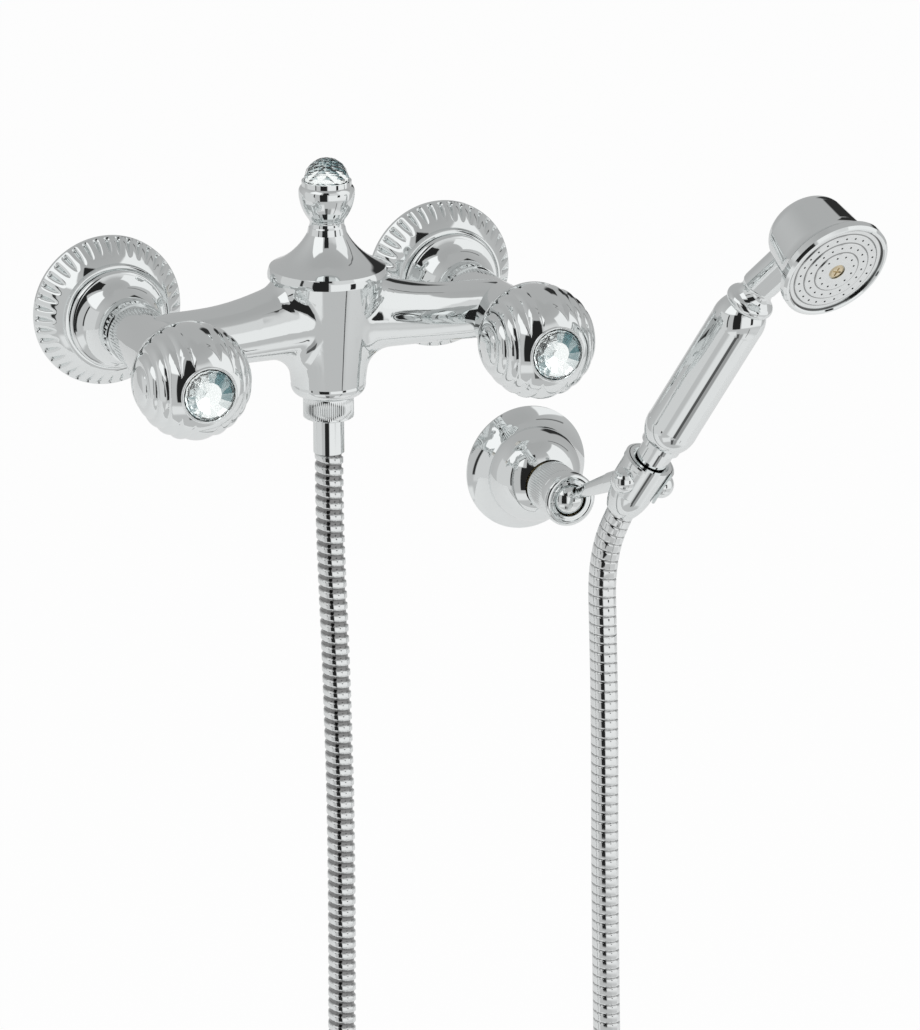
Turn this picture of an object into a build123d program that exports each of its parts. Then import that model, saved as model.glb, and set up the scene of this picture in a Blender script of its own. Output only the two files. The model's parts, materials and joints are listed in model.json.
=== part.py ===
from build123d import *
import math
import os

# A wall-mounted two-handle shower mixer with its hose, wall bracket and hand shower.
# Millimetres. +Z is up and +X is to the right as seen by someone facing the wall, which is
# the plane y = 0, so every piece stands out towards -Y. The origin lies on the wall, midway
# between the two water inlets.

# Clearances
seat_gap = 0.3            # between curved faces that would touch
thread_gap = 0.08         # radial, in a screwed fit
running_gap = 0.05        # radial, round a shaft that turns
cone_gap = 0.3            # round the cone of the hand shower in its cradle

# Small turned edges
edge = 0.8
fine_edge = 0.6

# Water inlets
inlet_spacing = 150.0
half_inch_thread_radius = 10.48
inlet_bore_radius = 6.5
tail_depth = 22.0         # how far the threaded tail reaches into the wall
tail_groove = 1.5         # undercut between its threads, on each side of the wall's face
tail_groove_radius = 9.6
inlet_gasket_radius = half_inch_thread_radius - 1.0
union_reach = 39.0        # how far the inlet union stands out of the wall

# Rosette and bell over each inlet
rosette_radius = 32.2
rosette_rim_height = 3.0
gadroon_count = 40
gadroon_depth = 1.5       # from crest to valley
gadroon_outer_radius = 31.4
gadroon_inner_radius = 26.6
gadroon_top = 8.2
slope_radius = 27.0       # where the smooth slope starts, just over the gadroons
slope_top = 11.8
slope_hollow = 0.5
step_ring_radius = 23.0
step_depth = 1.2          # how deep the bell sits in the step ring
rosette_height = 15.0
rosette_shell = 2.0
bell_foot_radius = 21.4
bell_neck_radius = 13.0
bell_height = 20.0
bell_wall = 1.6
bell_edge = 0.2           # its lowest edge above the step ring
bell_rim_rise = 2.4
bell_rim_swell = 0.5
bell_hollow = 3.4
bell_inner_hollow = 3.2

# Knurled nut between bell and barrel
union_nut_radius = 13.2
union_nut_length = 5.0
union_nut_teeth = 36
nut_tooth_depth = 0.5
nut_rim = 0.8             # plain edge at both ends of a toothed nut

# Mixer body
body_reach = 65.0         # from the wall to the vertical axis of the body
barrel_back_radius = 12.8
barrel_front_radius = 15.0
barrel_front_reach = 92.0
barrel_ring_length = 6.0  # straight part at the front of the barrel
barrel_hollow = 0.6
arm_rings = (             # distance out, rise of the middle above the inlets, radius
    (0.0, 6.4, 15.6),
    (26.0, 5.9, 14.9),
    (40.0, 3.9, 13.1),
    (56.0, 2.8, 12.3),
    (inlet_spacing / 2, 1.9, 11.9),
)
arm_blend = 11.0
shoulder_radius = 24.8
shoulder_height = 24.0    # of the crease under the shoulder
shoulder_round = 4.2      # how far the shoulder's edge curves up to the cone
shoulder_lip = 2.2        # how far the crease stands out over the vase
shoulder_fall = 0.4
shoulder_swell = 0.3
vase_hollow = 0.5
vase_foot_swell = 1.0
vase_belly_radius = 15.6
vase_belly_depth = 21.5
vase_foot_radius = 12.9
vase_foot_depth = 26.6
neck_radius = 7.6
neck_height = 45.0
neck_length = 2.6         # straight part of the neck
neck_flare = 0.6
cone_hollow = 1.9
water_way_radius = 5.0

# Finial on top of the body
cup_radius = 11.6
cup_height = 19.6
cup_stem_height = 3.4
cup_stem_hollow = 0.5
cup_swell = 1.0
cup_belly_edge = 1.5
cup_collar_rise = 1.2
cup_collar_swell = 0.4
cup_belly_height = 16.4
cup_collar_radius = 10.3
finial_crystal_radius = 9.4
finial_stud_radius = 3.0
finial_stud_length = 8.0
crystal_seat_depth = 1.4
crystal_sides = 16
finial_tiers = ((9.4, 0.0), (9.4, 2.4), (8.5, 5.4), (6.6, 8.1), (3.9, 10.0), (1.7, 10.8))  # radius, height

# Valve in each barrel
headwork_radius = 10.0
headwork_length = 29.5
disc_radius = 8.0
disc_thickness = 3.0
disc_port_radius = 2.6
disc_shut_turn = 90.0     # from the fixed disc's port to the turning one's
dog_thickness = 2.0
dog_margin = 0.6
chamber_length = 12.0
spindle_radius = 4.0
spindle_stick_out = 14.0  # how far it stands out of the barrel
headwork_set_back = 0.2
port_margin = 0.8

# Knob
knob_radius = 23.5
knob_stand = 18.5         # from the front of the barrel to the middle of the ball
knob_reach = barrel_front_reach + knob_stand
knob_ridges = 4           # on each side of the middle band
knob_band_half_width = 8.2
knob_pole_width = 20.6    # where the last ridge ends and the plain cap starts
knob_ridge_swell = 1.0
knob_back_depth = 8.2     # from the middle of the ball back to its rim
knob_rim_radius = 22.9
knob_rim_thickness = 1.3
knob_back_radius = 15.4
knob_back_swell = 1.2
knob_back_flare = 2.2
knob_front_margin = 3.6   # smooth ring round the crystal's seat
knob_front_stand = 0.2
crystal_radius = 10.7
crystal_bezel = 0.9
crystal_depth = 2.8       # how deep it sits in the knob
knob_tiers = ((10.4, 0.0), (10.4, 2.8), (8.5, 4.4), (5.2, 5.3), (3.1, 5.6))  # radius, height
bezel_reach = 21.4        # from the middle of the ball to the front of the bezel
knob_screw_radius = 2.0
knob_screw_head_radius = 3.6
knob_screw_head_length = 3.0
knob_screw_cover = 4.0    # from the screw's head to the crystal
knob_screw_grip = 6.0     # in the spindle

# Outlet and hose fittings
half_inch_core_radius = 9.3
hose_radius = 6.0
hose_bore_radius = 4.0
nipple_bore_radius = 6.0
nipple_screw_in = 8.0
nipple_reach = 5.0
hose_nut_radius = 10.6
hose_nut_height = 9.8
hose_nut_teeth = 28
hose_nut_lip = 1.4
hose_nut_drop = 0.4       # from the body to the nut
hose_nut_tooth = 0.4
ferrule_radius = 6.5
ferrule_length = 15.4
ferrule_flange = 1.4
gasket_thickness = 2.0
check_valve_length = 9.0
check_valve_wall = 1.4
check_valve_height = 1.0  # above the nipple's foot
spider_width = 1.4
spider_height = 2.0

# Hose, one length from the mixer down, round a free loop and up to the hand shower
hose_ribs = (24, 16, 26)  # on the mixer's leg, the loop and the hand shower's leg
hose_groove_depth = 0.8
hose_groove_width = 2.0
hose_rib_slope = 1.2
hose_end_plain = 16.0     # without ribs at each end
hose_end_run = 22.0       # from each end to the first point of its line
bend_share = 0.45         # of the shorter run that a bend takes on each side

# Wall bracket
bracket_x = 116.1
bracket_z = -92.9
bracket_radius = 27.9
bracket_crease_radius = 21.3
bracket_crease_reach = 9.5
bracket_front_radius = 11.2
bracket_reach = 27.0
bracket_wall = 1.8
bracket_flange = 1.0
bracket_swell = 2.8
bracket_hollow = 1.7
bracket_inner_hollow = 0.9
bracket_screw_spacing = 28.0
bracket_screw_radius = 2.2
bracket_screw_head_radius = 4.2
bracket_screw_head_height = 2.0
bracket_screw_length = 28.0
bracket_screw_neck = 1.9  # radius of its plain neck, through the plate
fixing_plate_radius = 19.5
fixing_plate_thickness = 4.0
socket_radius = 9.2
socket_length_short = 4.0 # from the middle of the ball back to the socket's front
clamp_nut_radius = 11.1
clamp_nut_length = 16.0
clamp_ring_radius = 11.8
clamp_ring_length = 6.4
clamp_ring_bevel = 1.4
clamp_lip = 1.6
clamp_lip_swell = 0.5
clamp_foot_margin = 0.8
clamp_opening_radius = 7.3
clamp_nut_teeth = 32
ball_radius = 7.9
ball_reach = 45.5

# Cradle and hand shower. Heights run along the hand shower's axis from the cradle's mouth.
mouth = (132.8, -96.2, -63.8)
axis_lift = 59.3          # degrees above the horizontal
axis_swing = 37.2         # degrees from straight out towards +X
spray_drop = 26.2         # degrees below the horizontal
spray_swing = 7.2         # degrees from straight out towards +X
rod_small_radius = 2.7
rod_waist = 4.0           # straight part in front of the ball
rod_large_radius = 4.1
rod_tenon_radius = 2.4
rod_tenon_length = 3.4
rod_foot = -5.0           # height at which the rod's line meets the hand shower's axis
rod_stop = 24.0           # from that point back to the end of the cradle's neck
cone_top_radius = 9.9
cone_knee_radius = 9.2
cone_foot_radius = 6.7
cone_knee = -17.0
cone_swell = 0.5
cone_foot = -27.0
cone_top = 1.2
hose_top = -12.0         # where the hose ends, up inside the cone
cone_core_radius = 8.2    # inside the screwed joint of cone and shank
cone_joint_foot = -8.0
cone_gasket_margin = 0.2
cradle_radius = 11.4
cradle_foot_radius = 10.9
cradle_foot = -16.0
cradle_lip = 1.0
cradle_taper_end = -2.2   # where its thicker top ring starts
cradle_ring = 0.5
cradle_neck_wall = 0.2    # how far its neck stands out over the rod
cradle_neck_end = 4.0     # from the hand shower's axis
cradle_bore_top = 6.0     # clear of its lip
cradle_slot_width = 13.4
boss_radius = 5.7
boss_spread = 9.7
boss_forward = 2.7
boss_height = -9.3
shank_radius = 7.2
shank_screw_top = -1.0
flange_radius = 8.7
flange_foot = 10.0
handle_foot = 12.4
handle_radius = 11.3
handle_top = 87.6
handle_shoulder = 9.6
handle_mouth_radius = 8.9
handle_wall = 1.8
handle_swell = 0.9
handle_inner_swell = 0.7
water_tube_radius = 5.0
water_tube_bore = 3.5
collar_radius = 10.3
collar_top = 93.2
collar_groove = 1.4
collar_swell = 1.4
collar_hollow = 1.2
neck_foot = 99.0
neck_pipe_radius = 7.4
neck_forward = 10.0       # how far forward the neck has leaned at the middle of the head
head_height = 133.6
head_reach = 31.9         # from the hand shower's axis to the front of the rim
head_waist_radius = 19.2
head_waist = 12.0         # from the front of the rim
head_barrel_radius = 17.3
head_barrel_end = 25.0
head_back_radius = 9.6    # where the rounded edge of the back meets its low dome
head_back = 32.8
head_dome = 1.2
head_wall = 2.0
head_waist_hollow = 0.9
head_shoulder_swell = 2.0
head_dome_swell = 0.15
head_crown_radius = 3.0   # flat middle of the back
head_foot_radius = 21.8   # inside the rim ring
head_mouth_radius = 19.2  # of the hollow behind the plate
head_mouth_depth = 2.0
head_edge = 0.2
rim_radius = 23.8
rim_length = 4.4
rim_lip_radius = 21.4
rim_lip_depth = 0.4
rim_bevel = 1.0
rim_wall = 1.8
plate_thickness = 1.8
plate_steps = ((18.9, 0.45), (14.7, 0.45), (10.0, 0.45))
plate_step_slope = 0.5
spray_rings = ((24, 16.8), (18, 12.4), (12, 7.7))
spray_hole_radius = 0.5
spray_gasket_thickness = 1.4
plate_screw_radius = 3.4
plate_screw_shank = 1.8
plate_screw_length = 12.0
plate_screw_head = 1.0
plate_screw_sink = 0.1
plate_screw_bevel = 1.0
plate_screw_slot = (4.2, 0.7, 0.8)
plate_post_wall = 1.6
plate_post_gap = 0.2


def outline(start, *steps):
    """Closed face in (radius, height). A step of three values is an arc that swells by the third."""
    edges = []
    here = start
    for step in steps:
        there = step[:2]
        if len(step) == 3:
            edges.append(SagittaArc(here, there, -step[2]).edge())
        else:
            edges.append(Edge.make_line(here, there))
        here = there
    if here != start:
        edges.append(Edge.make_line(here, start))
    return Face(Wire(edges))


def turned(start, *steps):
    """Solid of revolution about +Z."""
    return Rot(90, 0, 0) * revolve(outline(start, *steps), Axis.Y)


def tube(radius, low, high, bore=0.0):
    """Round bar or tube about +Z between two heights."""
    bar = Pos(0, 0, low) * extrude(Circle(radius), high - low)
    if bore > 0:
        bar -= Pos(0, 0, low) * extrude(Circle(bore), high - low)
    return bar


tooth_form = ((0.0, 1.0), (0.45, 1.0), (0.6, 0.0), (0.85, 0.0))
gadroon_form = ((0.0, 0.0), (0.25, 0.75), (0.5, 1.0), (0.75, 0.75))


def star(radius, depth, count, form):
    """Face with a form repeated round its edge, given by shares of the pitch and of the depth."""
    points = []
    for turn in range(count):
        for along, rise in form:
            angle = math.tau * (turn + along) / count
            reach = radius - depth * (1 - rise)
            points.append((reach * math.cos(angle), reach * math.sin(angle)))
    return make_face(Polyline(*points, close=True))


def toothed(radius, depth, count, low, high):
    """Bar with straight teeth all round."""
    return Pos(0, 0, low) * extrude(star(radius, depth, count, tooth_form), high - low)


def out_of_wall(x, z):
    """Frame on the wall whose Z stands straight out of it and whose Y is up."""
    return Location(Plane(origin=(x, 0, z), x_dir=(1, 0, 0), z_dir=(0, -1, 0)))


def direction(lift, swing):
    """Unit vector at an angle above the horizontal and an angle from straight out towards +X."""
    flat = math.cos(math.radians(lift))
    return Vector(
        flat * math.sin(math.radians(swing)),
        -flat * math.cos(math.radians(swing)),
        math.sin(math.radians(lift)),
    )


def at_body(solid):
    """Stands a piece on the vertical axis of the mixer body."""
    return Pos(0, -body_reach, 0) * solid


hand_axis = direction(axis_lift, axis_swing)
spray_axis = direction(-spray_drop, spray_swing)
spray_axis = (spray_axis - hand_axis * spray_axis.dot(hand_axis)).normalized()
hand_plane = Plane(origin=mouth, x_dir=spray_axis, z_dir=hand_axis)
hand = Location(hand_plane)
head_plane = Plane(
    origin=Vector(*mouth) + hand_axis * head_height + spray_axis * head_reach,
    x_dir=hand_axis,
    z_dir=-spray_axis,
)
head = Location(head_plane)
neck_joint = Plane(origin=Vector(*mouth) + hand_axis * neck_foot, x_dir=spray_axis, z_dir=hand_axis)
neck_line = hand_axis * (head_height - neck_foot) + spray_axis * neck_forward
neck_pipe_length = neck_line.length
neck = Location(Plane(origin=neck_joint.origin, x_dir=spray_axis, z_dir=neck_line.normalized()))
ball_centre = Vector(bracket_x, -ball_reach, bracket_z)
rod_end = Vector(*mouth) + hand_axis * rod_foot
rod_axis = (rod_end - ball_centre).normalized()
slot_axis = (rod_axis - hand_axis * rod_axis.dot(hand_axis)).normalized()
cradle_place = Location(Plane(origin=mouth, x_dir=slot_axis, z_dir=hand_axis))


def inlet_union():
    """Screwed into the wall at its tail and into the knurled nut at its front."""
    tail = tube(half_inch_thread_radius, -tail_depth, -tail_groove)
    groove = tube(tail_groove_radius, -tail_groove, tail_groove)
    front = tube(half_inch_thread_radius, tail_groove, union_reach - gasket_thickness)
    return tail + groove + front - tube(inlet_bore_radius, -tail_depth, union_reach)


def rosette():
    """Flat flange with a gadrooned rim, a smooth slope and a raised step ring."""
    rim = tube(rosette_radius, 0, rosette_rim_height)
    feet = star(gadroon_outer_radius, gadroon_depth, gadroon_count, gadroon_form)
    heads = star(gadroon_inner_radius, gadroon_depth, gadroon_count, gadroon_form)
    gadroons = loft([Pos(0, 0, rosette_rim_height) * feet, Pos(0, 0, gadroon_top) * heads], ruled=True)
    slope = turned(
        (0.0, gadroon_top),
        (slope_radius, gadroon_top),
        (slope_radius, gadroon_top + fine_edge),
        (step_ring_radius, slope_top, -slope_hollow),
        (step_ring_radius, rosette_height - edge),
        (step_ring_radius - edge, rosette_height),
        (0.0, rosette_height),
    )
    hollow = turned(
        (0.0, 0.0),
        (rosette_radius - rosette_shell, 0.0),
        (step_ring_radius - rosette_shell, slope_top - rosette_shell / 2),
        (0.0, slope_top - rosette_shell / 2),
    )
    shell = rim + gadroons + slope - hollow
    shell -= tube(bell_foot_radius, rosette_height - step_depth, rosette_height)
    return shell - tube(half_inch_thread_radius + thread_gap, 0, rosette_height)


def bell():
    """Concave cover that rises from the step ring to the neck."""
    foot = rosette_height - step_depth + seat_gap
    top = rosette_height + bell_height
    outer = bell_foot_radius - seat_gap
    rim = rosette_height + bell_rim_rise
    return turned(
        (outer - bell_wall, foot),
        (outer, foot),
        (outer, rosette_height + bell_edge),
        (outer - bell_wall, rim, bell_rim_swell),
        (bell_neck_radius, top, -bell_hollow),
        (bell_neck_radius - bell_wall, top),
        (outer - 2 * bell_wall, rim, bell_inner_hollow),
    )


union_nut_foot = rosette_height + bell_height + seat_gap
barrel_back_reach = union_nut_foot + union_nut_length
headwork_foot = barrel_front_reach - headwork_length


def union_nut():
    """Fine-toothed nut that draws the barrel against the inlet union."""
    top = barrel_back_reach
    rims = tube(union_nut_radius, union_nut_foot, union_nut_foot + nut_rim)
    rims += tube(union_nut_radius, top - nut_rim, top)
    foot = union_nut_foot + nut_rim
    nut = rims + toothed(union_nut_radius, nut_tooth_depth, union_nut_teeth, foot, top - nut_rim)
    return nut - tube(half_inch_thread_radius + thread_gap, union_nut_foot, top)


def inlet_gasket():
    """Washer squeezed between the union and the barrel."""
    return tube(inlet_gasket_radius, union_reach - gasket_thickness, union_reach, inlet_bore_radius)


def barrel():
    """Blank of one valve barrel, standing out of the wall."""
    return turned(
        (0.0, barrel_back_reach),
        (barrel_back_radius, barrel_back_reach),
        (barrel_front_radius, barrel_front_reach - barrel_ring_length, -barrel_hollow),
        (barrel_front_radius, barrel_front_reach),
        (0.0, barrel_front_reach),
    )


def vase():
    """Blank of the body's middle: a tapered vase, a sharp shoulder and a concave cone."""
    return turned(
        (0.0, -vase_foot_depth),
        (vase_foot_radius, -vase_foot_depth),
        (vase_belly_radius, -vase_belly_depth, vase_foot_swell),
        (shoulder_radius - shoulder_lip, shoulder_height - shoulder_fall, -vase_hollow),
        (shoulder_radius, shoulder_height),
        (shoulder_radius - edge, shoulder_height + shoulder_round, shoulder_swell),
        (neck_radius + neck_flare, neck_height - neck_length, -cone_hollow),
        (neck_radius, neck_height),
        (0.0, neck_height),
    )


def arm(side):
    """Blank of one arm, flared where it leaves the vase and slimmer at the barrel."""
    rings = []
    for out, rise, radius in arm_rings:
        across = Plane(origin=(side * out, 0, rise), x_dir=(0, 1, 0), z_dir=(side, 0, 0))
        rings.append(across * Circle(radius))
    return loft(rings)


def mixer_body():
    """One casting: two barrels, two arms and a vase, with its water ways."""
    casting = vase() + (arm(-1) + arm(1))
    seams = [edge for edge in casting.edges() if edge.geom_type not in (GeomType.LINE, GeomType.CIRCLE)]
    seams = [edge for edge in seams if abs(edge.center().X) < shoulder_radius]
    casting = at_body(casting.fillet(arm_blend, seams))
    for side in (-1, 1):
        place = out_of_wall(side * inlet_spacing / 2, 0)
        casting += place * barrel()
    for side in (-1, 1):
        place = out_of_wall(side * inlet_spacing / 2, 0)
        casting -= place * tube(inlet_gasket_radius + thread_gap, barrel_back_reach, union_reach)
        casting -= place * tube(inlet_bore_radius, barrel_back_reach, headwork_foot)
        casting -= place * tube(headwork_radius + thread_gap, headwork_foot, barrel_front_reach)
    water_way = Rot(0, 90, 0) * tube(water_way_radius, -inlet_spacing / 2, inlet_spacing / 2)
    way_height = arm_rings[-1][1]
    casting -= Pos(0, -body_reach - water_way_radius, way_height) * water_way
    casting -= at_body(tube(nipple_bore_radius, -vase_foot_depth, way_height))
    nipple_top = nipple_screw_in - vase_foot_depth
    casting -= at_body(tube(half_inch_core_radius + thread_gap, -vase_foot_depth, nipple_top))
    stud_foot = neck_height - finial_stud_length - seat_gap
    casting -= at_body(tube(finial_stud_radius + thread_gap, stud_foot, neck_height))
    return casting


def finial_cup():
    """Turned cup that screws into the neck and holds the crystal in a thin collar."""
    belly = turned(
        (0.0, 0.0),
        (neck_radius, 0.0),
        (neck_radius, cup_stem_height, -cup_stem_hollow),
        (cup_radius, cup_belly_height - cup_belly_edge, cup_swell),
        (cup_collar_radius, cup_belly_height + cup_collar_rise, cup_collar_swell),
        (cup_collar_radius, cup_height),
        (finial_crystal_radius + seat_gap, cup_height),
        (finial_crystal_radius + seat_gap, cup_height - crystal_seat_depth),
        (0.0, cup_height - crystal_seat_depth),
    )
    return belly + tube(finial_stud_radius, -finial_stud_length, 0)


def cut_crystal(tiers):
    """Faceted stone: rings of flat facets between regular polygons, each given by radius and height."""
    rings = [Pos(0, 0, height) * RegularPolygon(radius, crystal_sides) for radius, height in tiers]
    return loft(rings, ruled=True)


def finial_crystal():
    """Tall faceted dome."""
    return Pos(0, 0, cup_height - crystal_seat_depth) * cut_crystal(finial_tiers)


def knob_crystal():
    """Low faceted dome set in the front of the knob."""
    return Pos(0, 0, bezel_reach - crystal_depth) * cut_crystal(knob_tiers)


def knob():
    """Ball with ridges like stacked discs on both flanks, a smooth front, a bezel and a thin back rim."""
    step = (knob_pole_width - knob_band_half_width) / knob_ridges
    marks = [knob_band_half_width + step * ridge for ridge in range(knob_ridges + 1)]
    stops = [-mark for mark in reversed(marks)] + marks

    def on_ball(width):
        return math.sqrt(knob_radius**2 - width**2)

    def swell(start, end):
        chord = math.hypot(end[0] - start[0], end[1] - start[1])
        return knob_radius - math.sqrt(knob_radius**2 - chord**2 / 4)

    points = [(0.0, -knob_radius)] + [(on_ball(stop), stop) for stop in stops] + [(0.0, knob_radius)]
    steps = []
    for start, end in zip(points, points[1:]):
        smooth = start[0] == 0 or end[0] == 0 or start[1] == -knob_band_half_width
        steps.append((end[0], end[1], swell(start, end) + (0 if smooth else knob_ridge_swell)))
    ball = Rot(0, 90, 0) * turned(points[0], *steps)
    front_ring = tube(crystal_radius + knob_front_margin, 0, knob_radius)
    smooth_front = Sphere(knob_radius + knob_front_stand) & front_ring
    front = split(ball + smooth_front, Plane.XY.offset(-knob_back_depth), keep=Keep.TOP)
    back_length = knob_reach - barrel_front_reach - seat_gap
    back = turned(
        (0.0, -back_length),
        (knob_back_radius, -back_length),
        (knob_rim_radius - knob_back_flare, -knob_back_depth - knob_rim_thickness, knob_back_swell),
        (knob_rim_radius, -knob_back_depth - knob_rim_thickness),
        (knob_rim_radius, -knob_back_depth),
        (0.0, -knob_back_depth),
    )
    bezel = tube(crystal_radius + crystal_bezel, 0, bezel_reach)
    body = front + back + bezel
    body -= tube(crystal_radius, bezel_reach - crystal_depth - seat_gap, knob_radius + edge)
    body -= tube(spindle_radius + seat_gap, -back_length, spindle_top + seat_gap)
    body -= tube(knob_screw_radius + seat_gap, spindle_top, bezel_reach - crystal_depth)
    body -= tube(knob_screw_head_radius + seat_gap, knob_screw_seat, bezel_reach - crystal_depth)
    return body


spindle_top = barrel_front_reach + spindle_stick_out - knob_reach
knob_screw_seat = bezel_reach - crystal_depth - seat_gap - knob_screw_head_length - knob_screw_cover


def knob_screw():
    """Screw from the front of the knob into the spindle, under the crystal."""
    head = tube(knob_screw_head_radius, knob_screw_seat, knob_screw_seat + knob_screw_head_length)
    return head + tube(knob_screw_radius, spindle_top - knob_screw_grip, knob_screw_seat)


def spindle():
    """Spindle with the dog plate that turns the upper disc."""
    low = headwork_foot + 2 * disc_thickness
    top = barrel_front_reach + spindle_stick_out
    shaft = tube(spindle_radius, low, top) + tube(disc_radius - dog_margin, low, low + dog_thickness)
    return shaft - tube(knob_screw_radius + thread_gap, top - knob_screw_grip - 1, top)


def disc(level, turn):
    """Ceramic disc with one off-centre port."""
    low = headwork_foot + level * disc_thickness
    plate = tube(disc_radius - running_gap, low, low + disc_thickness)
    reach = disc_radius / 2
    hole = Rot(0, 0, turn) * Pos(reach, 0, low) * extrude(Circle(disc_port_radius), disc_thickness)
    return plate - hole


def headwork():
    """Valve housing screwed into the barrel: disc chamber, side ports and a long guide for the spindle."""
    housing = tube(headwork_radius, headwork_foot, barrel_front_reach - headwork_set_back)
    housing -= tube(disc_radius + running_gap, headwork_foot, headwork_foot + chamber_length)
    housing -= tube(spindle_radius + running_gap, headwork_foot, barrel_front_reach)
    middle = headwork_foot + chamber_length - disc_port_radius - port_margin
    port = Rot(0, 90, 0) * tube(disc_port_radius, -headwork_radius - 1, headwork_radius + 1)
    return housing - Pos(0, 0, middle) * port


nut_top = -vase_foot_depth - hose_nut_drop
nut_foot = nut_top - hose_nut_height
nipple_foot = -vase_foot_depth - nipple_reach
ferrule_foot = nut_foot - ferrule_length
ferrule_top = nipple_foot - gasket_thickness


def outlet_nipple():
    """Threaded nipple in the foot of the body."""
    return tube(half_inch_core_radius, nipple_foot, nipple_screw_in - vase_foot_depth, nipple_bore_radius)


def check_valve():
    """Cartridge in the nipple that stops water running back."""
    bore = nipple_bore_radius - check_valve_wall
    cartridge = tube(nipple_bore_radius - running_gap, -check_valve_length, 0, bore)
    spider = Box(2 * bore + check_valve_wall, spider_width, spider_height)
    spider = Pos(0, 0, -check_valve_length / 2) * spider
    return Pos(0, 0, nipple_foot + check_valve_length + check_valve_height) * (cartridge + spider)


def outlet_gasket():
    """Washer between the nipple and the ferrule."""
    return tube(half_inch_core_radius - seat_gap, ferrule_top, nipple_foot, hose_bore_radius)


def hose_nut():
    """Fluted nut that holds the ferrule against the nipple."""
    rims = tube(hose_nut_radius, nut_foot, nut_foot + nut_rim)
    rims += tube(hose_nut_radius, nut_top - nut_rim, nut_top)
    teeth = toothed(hose_nut_radius, hose_nut_tooth, hose_nut_teeth, nut_foot + nut_rim, nut_top - nut_rim)
    nut = rims + teeth
    nut -= tube(half_inch_core_radius + thread_gap, nut_foot + hose_nut_lip, nut_top)
    return nut - tube(ferrule_radius + running_gap, nut_foot, nut_top)


def mixer_ferrule():
    """Smooth sleeve crimped on the hose, with the flange that the nut pulls up."""
    sleeve = tube(ferrule_radius, ferrule_foot, ferrule_top)
    flange = tube(half_inch_core_radius - seat_gap, nut_foot + hose_nut_lip + seat_gap, ferrule_top)
    return sleeve + flange - tube(hose_bore_radius, ferrule_foot, ferrule_top)


def bracket_plate():
    """Plate screwed to the wall under the rosette."""
    plate = tube(fixing_plate_radius, 0, fixing_plate_thickness)
    for side in (-1, 1):
        hole = Pos(side * bracket_screw_spacing / 2, 0, 0)
        plate -= hole * tube(bracket_screw_radius + seat_gap, 0, fixing_plate_thickness)
    return plate


def bracket_screws():
    """Two wall screws through the plate."""
    low = fixing_plate_thickness - bracket_screw_length
    top = fixing_plate_thickness + bracket_screw_head_height
    screw = tube(bracket_screw_radius, low, -tail_groove)
    screw += tube(bracket_screw_neck, -tail_groove, fixing_plate_thickness)
    screw += tube(bracket_screw_head_radius, fixing_plate_thickness, top)
    return Compound([Pos(side * bracket_screw_spacing / 2, 0, 0) * screw for side in (-1, 1)])


def bracket_rosette():
    """Domed cover with a flared flange and a crease."""
    wall = bracket_wall
    return turned(
        (socket_radius + thread_gap, bracket_reach - wall),
        (bracket_crease_radius - 2 * wall, bracket_crease_reach, -bracket_swell),
        (bracket_radius - wall - fine_edge, 0.0, -bracket_inner_hollow),
        (bracket_radius, 0.0),
        (bracket_radius, bracket_flange),
        (bracket_crease_radius + fine_edge, bracket_crease_reach - fine_edge, bracket_hollow),
        (bracket_crease_radius, bracket_crease_reach),
        (bracket_front_radius, bracket_reach, bracket_swell),
        (socket_radius + thread_gap, bracket_reach),
    )


clamp_foot = ball_reach - clamp_nut_length - clamp_foot_margin
clamp_front = clamp_foot + clamp_nut_length + clamp_ring_length


def bracket_socket():
    """Threaded stem on the plate, hollowed at its front for the ball."""
    front = ball_reach - socket_length_short
    stem = tube(socket_radius, fixing_plate_thickness, front)
    return stem - Pos(0, 0, ball_reach) * Sphere(ball_radius + seat_gap)


def clamp_nut():
    """Knurled nut whose front ring closes in over the ball."""
    ring_foot = clamp_front - clamp_ring_length
    grip = tube(clamp_nut_radius, clamp_foot, clamp_foot + nut_rim)
    grip += toothed(clamp_nut_radius, nut_tooth_depth, clamp_nut_teeth, clamp_foot + nut_rim, ring_foot)
    ring = turned(
        (0.0, ring_foot),
        (clamp_nut_radius, ring_foot),
        (clamp_nut_radius, ring_foot + edge),
        (clamp_ring_radius, ring_foot + clamp_ring_bevel),
        (clamp_ring_radius, clamp_front - clamp_ring_bevel),
        (clamp_ring_radius - clamp_lip, clamp_front, clamp_lip_swell),
        (0.0, clamp_front),
    )
    nut = grip + ring
    nut -= tube(socket_radius + thread_gap, clamp_foot, ball_reach)
    nut -= Pos(0, 0, ball_reach) * Sphere(ball_radius + seat_gap)
    return nut - tube(clamp_opening_radius, ball_reach, clamp_front)


rod_length = (rod_end - ball_centre).length
rod_place = Location(Plane(origin=ball_centre, x_dir=(1, 0, 0), z_dir=rod_axis))


def ball_arm():
    """Ball, tapered rod and the tenon that screws into the cradle."""
    end = rod_length - rod_stop
    rod = turned(
        (0.0, 0.0),
        (rod_small_radius, 0.0),
        (rod_small_radius, ball_radius + rod_waist),
        (rod_large_radius, end),
        (rod_tenon_radius, end),
        (rod_tenon_radius, end + rod_tenon_length),
        (0.0, end + rod_tenon_length),
    )
    return rod_place * (Sphere(ball_radius) + rod)


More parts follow.
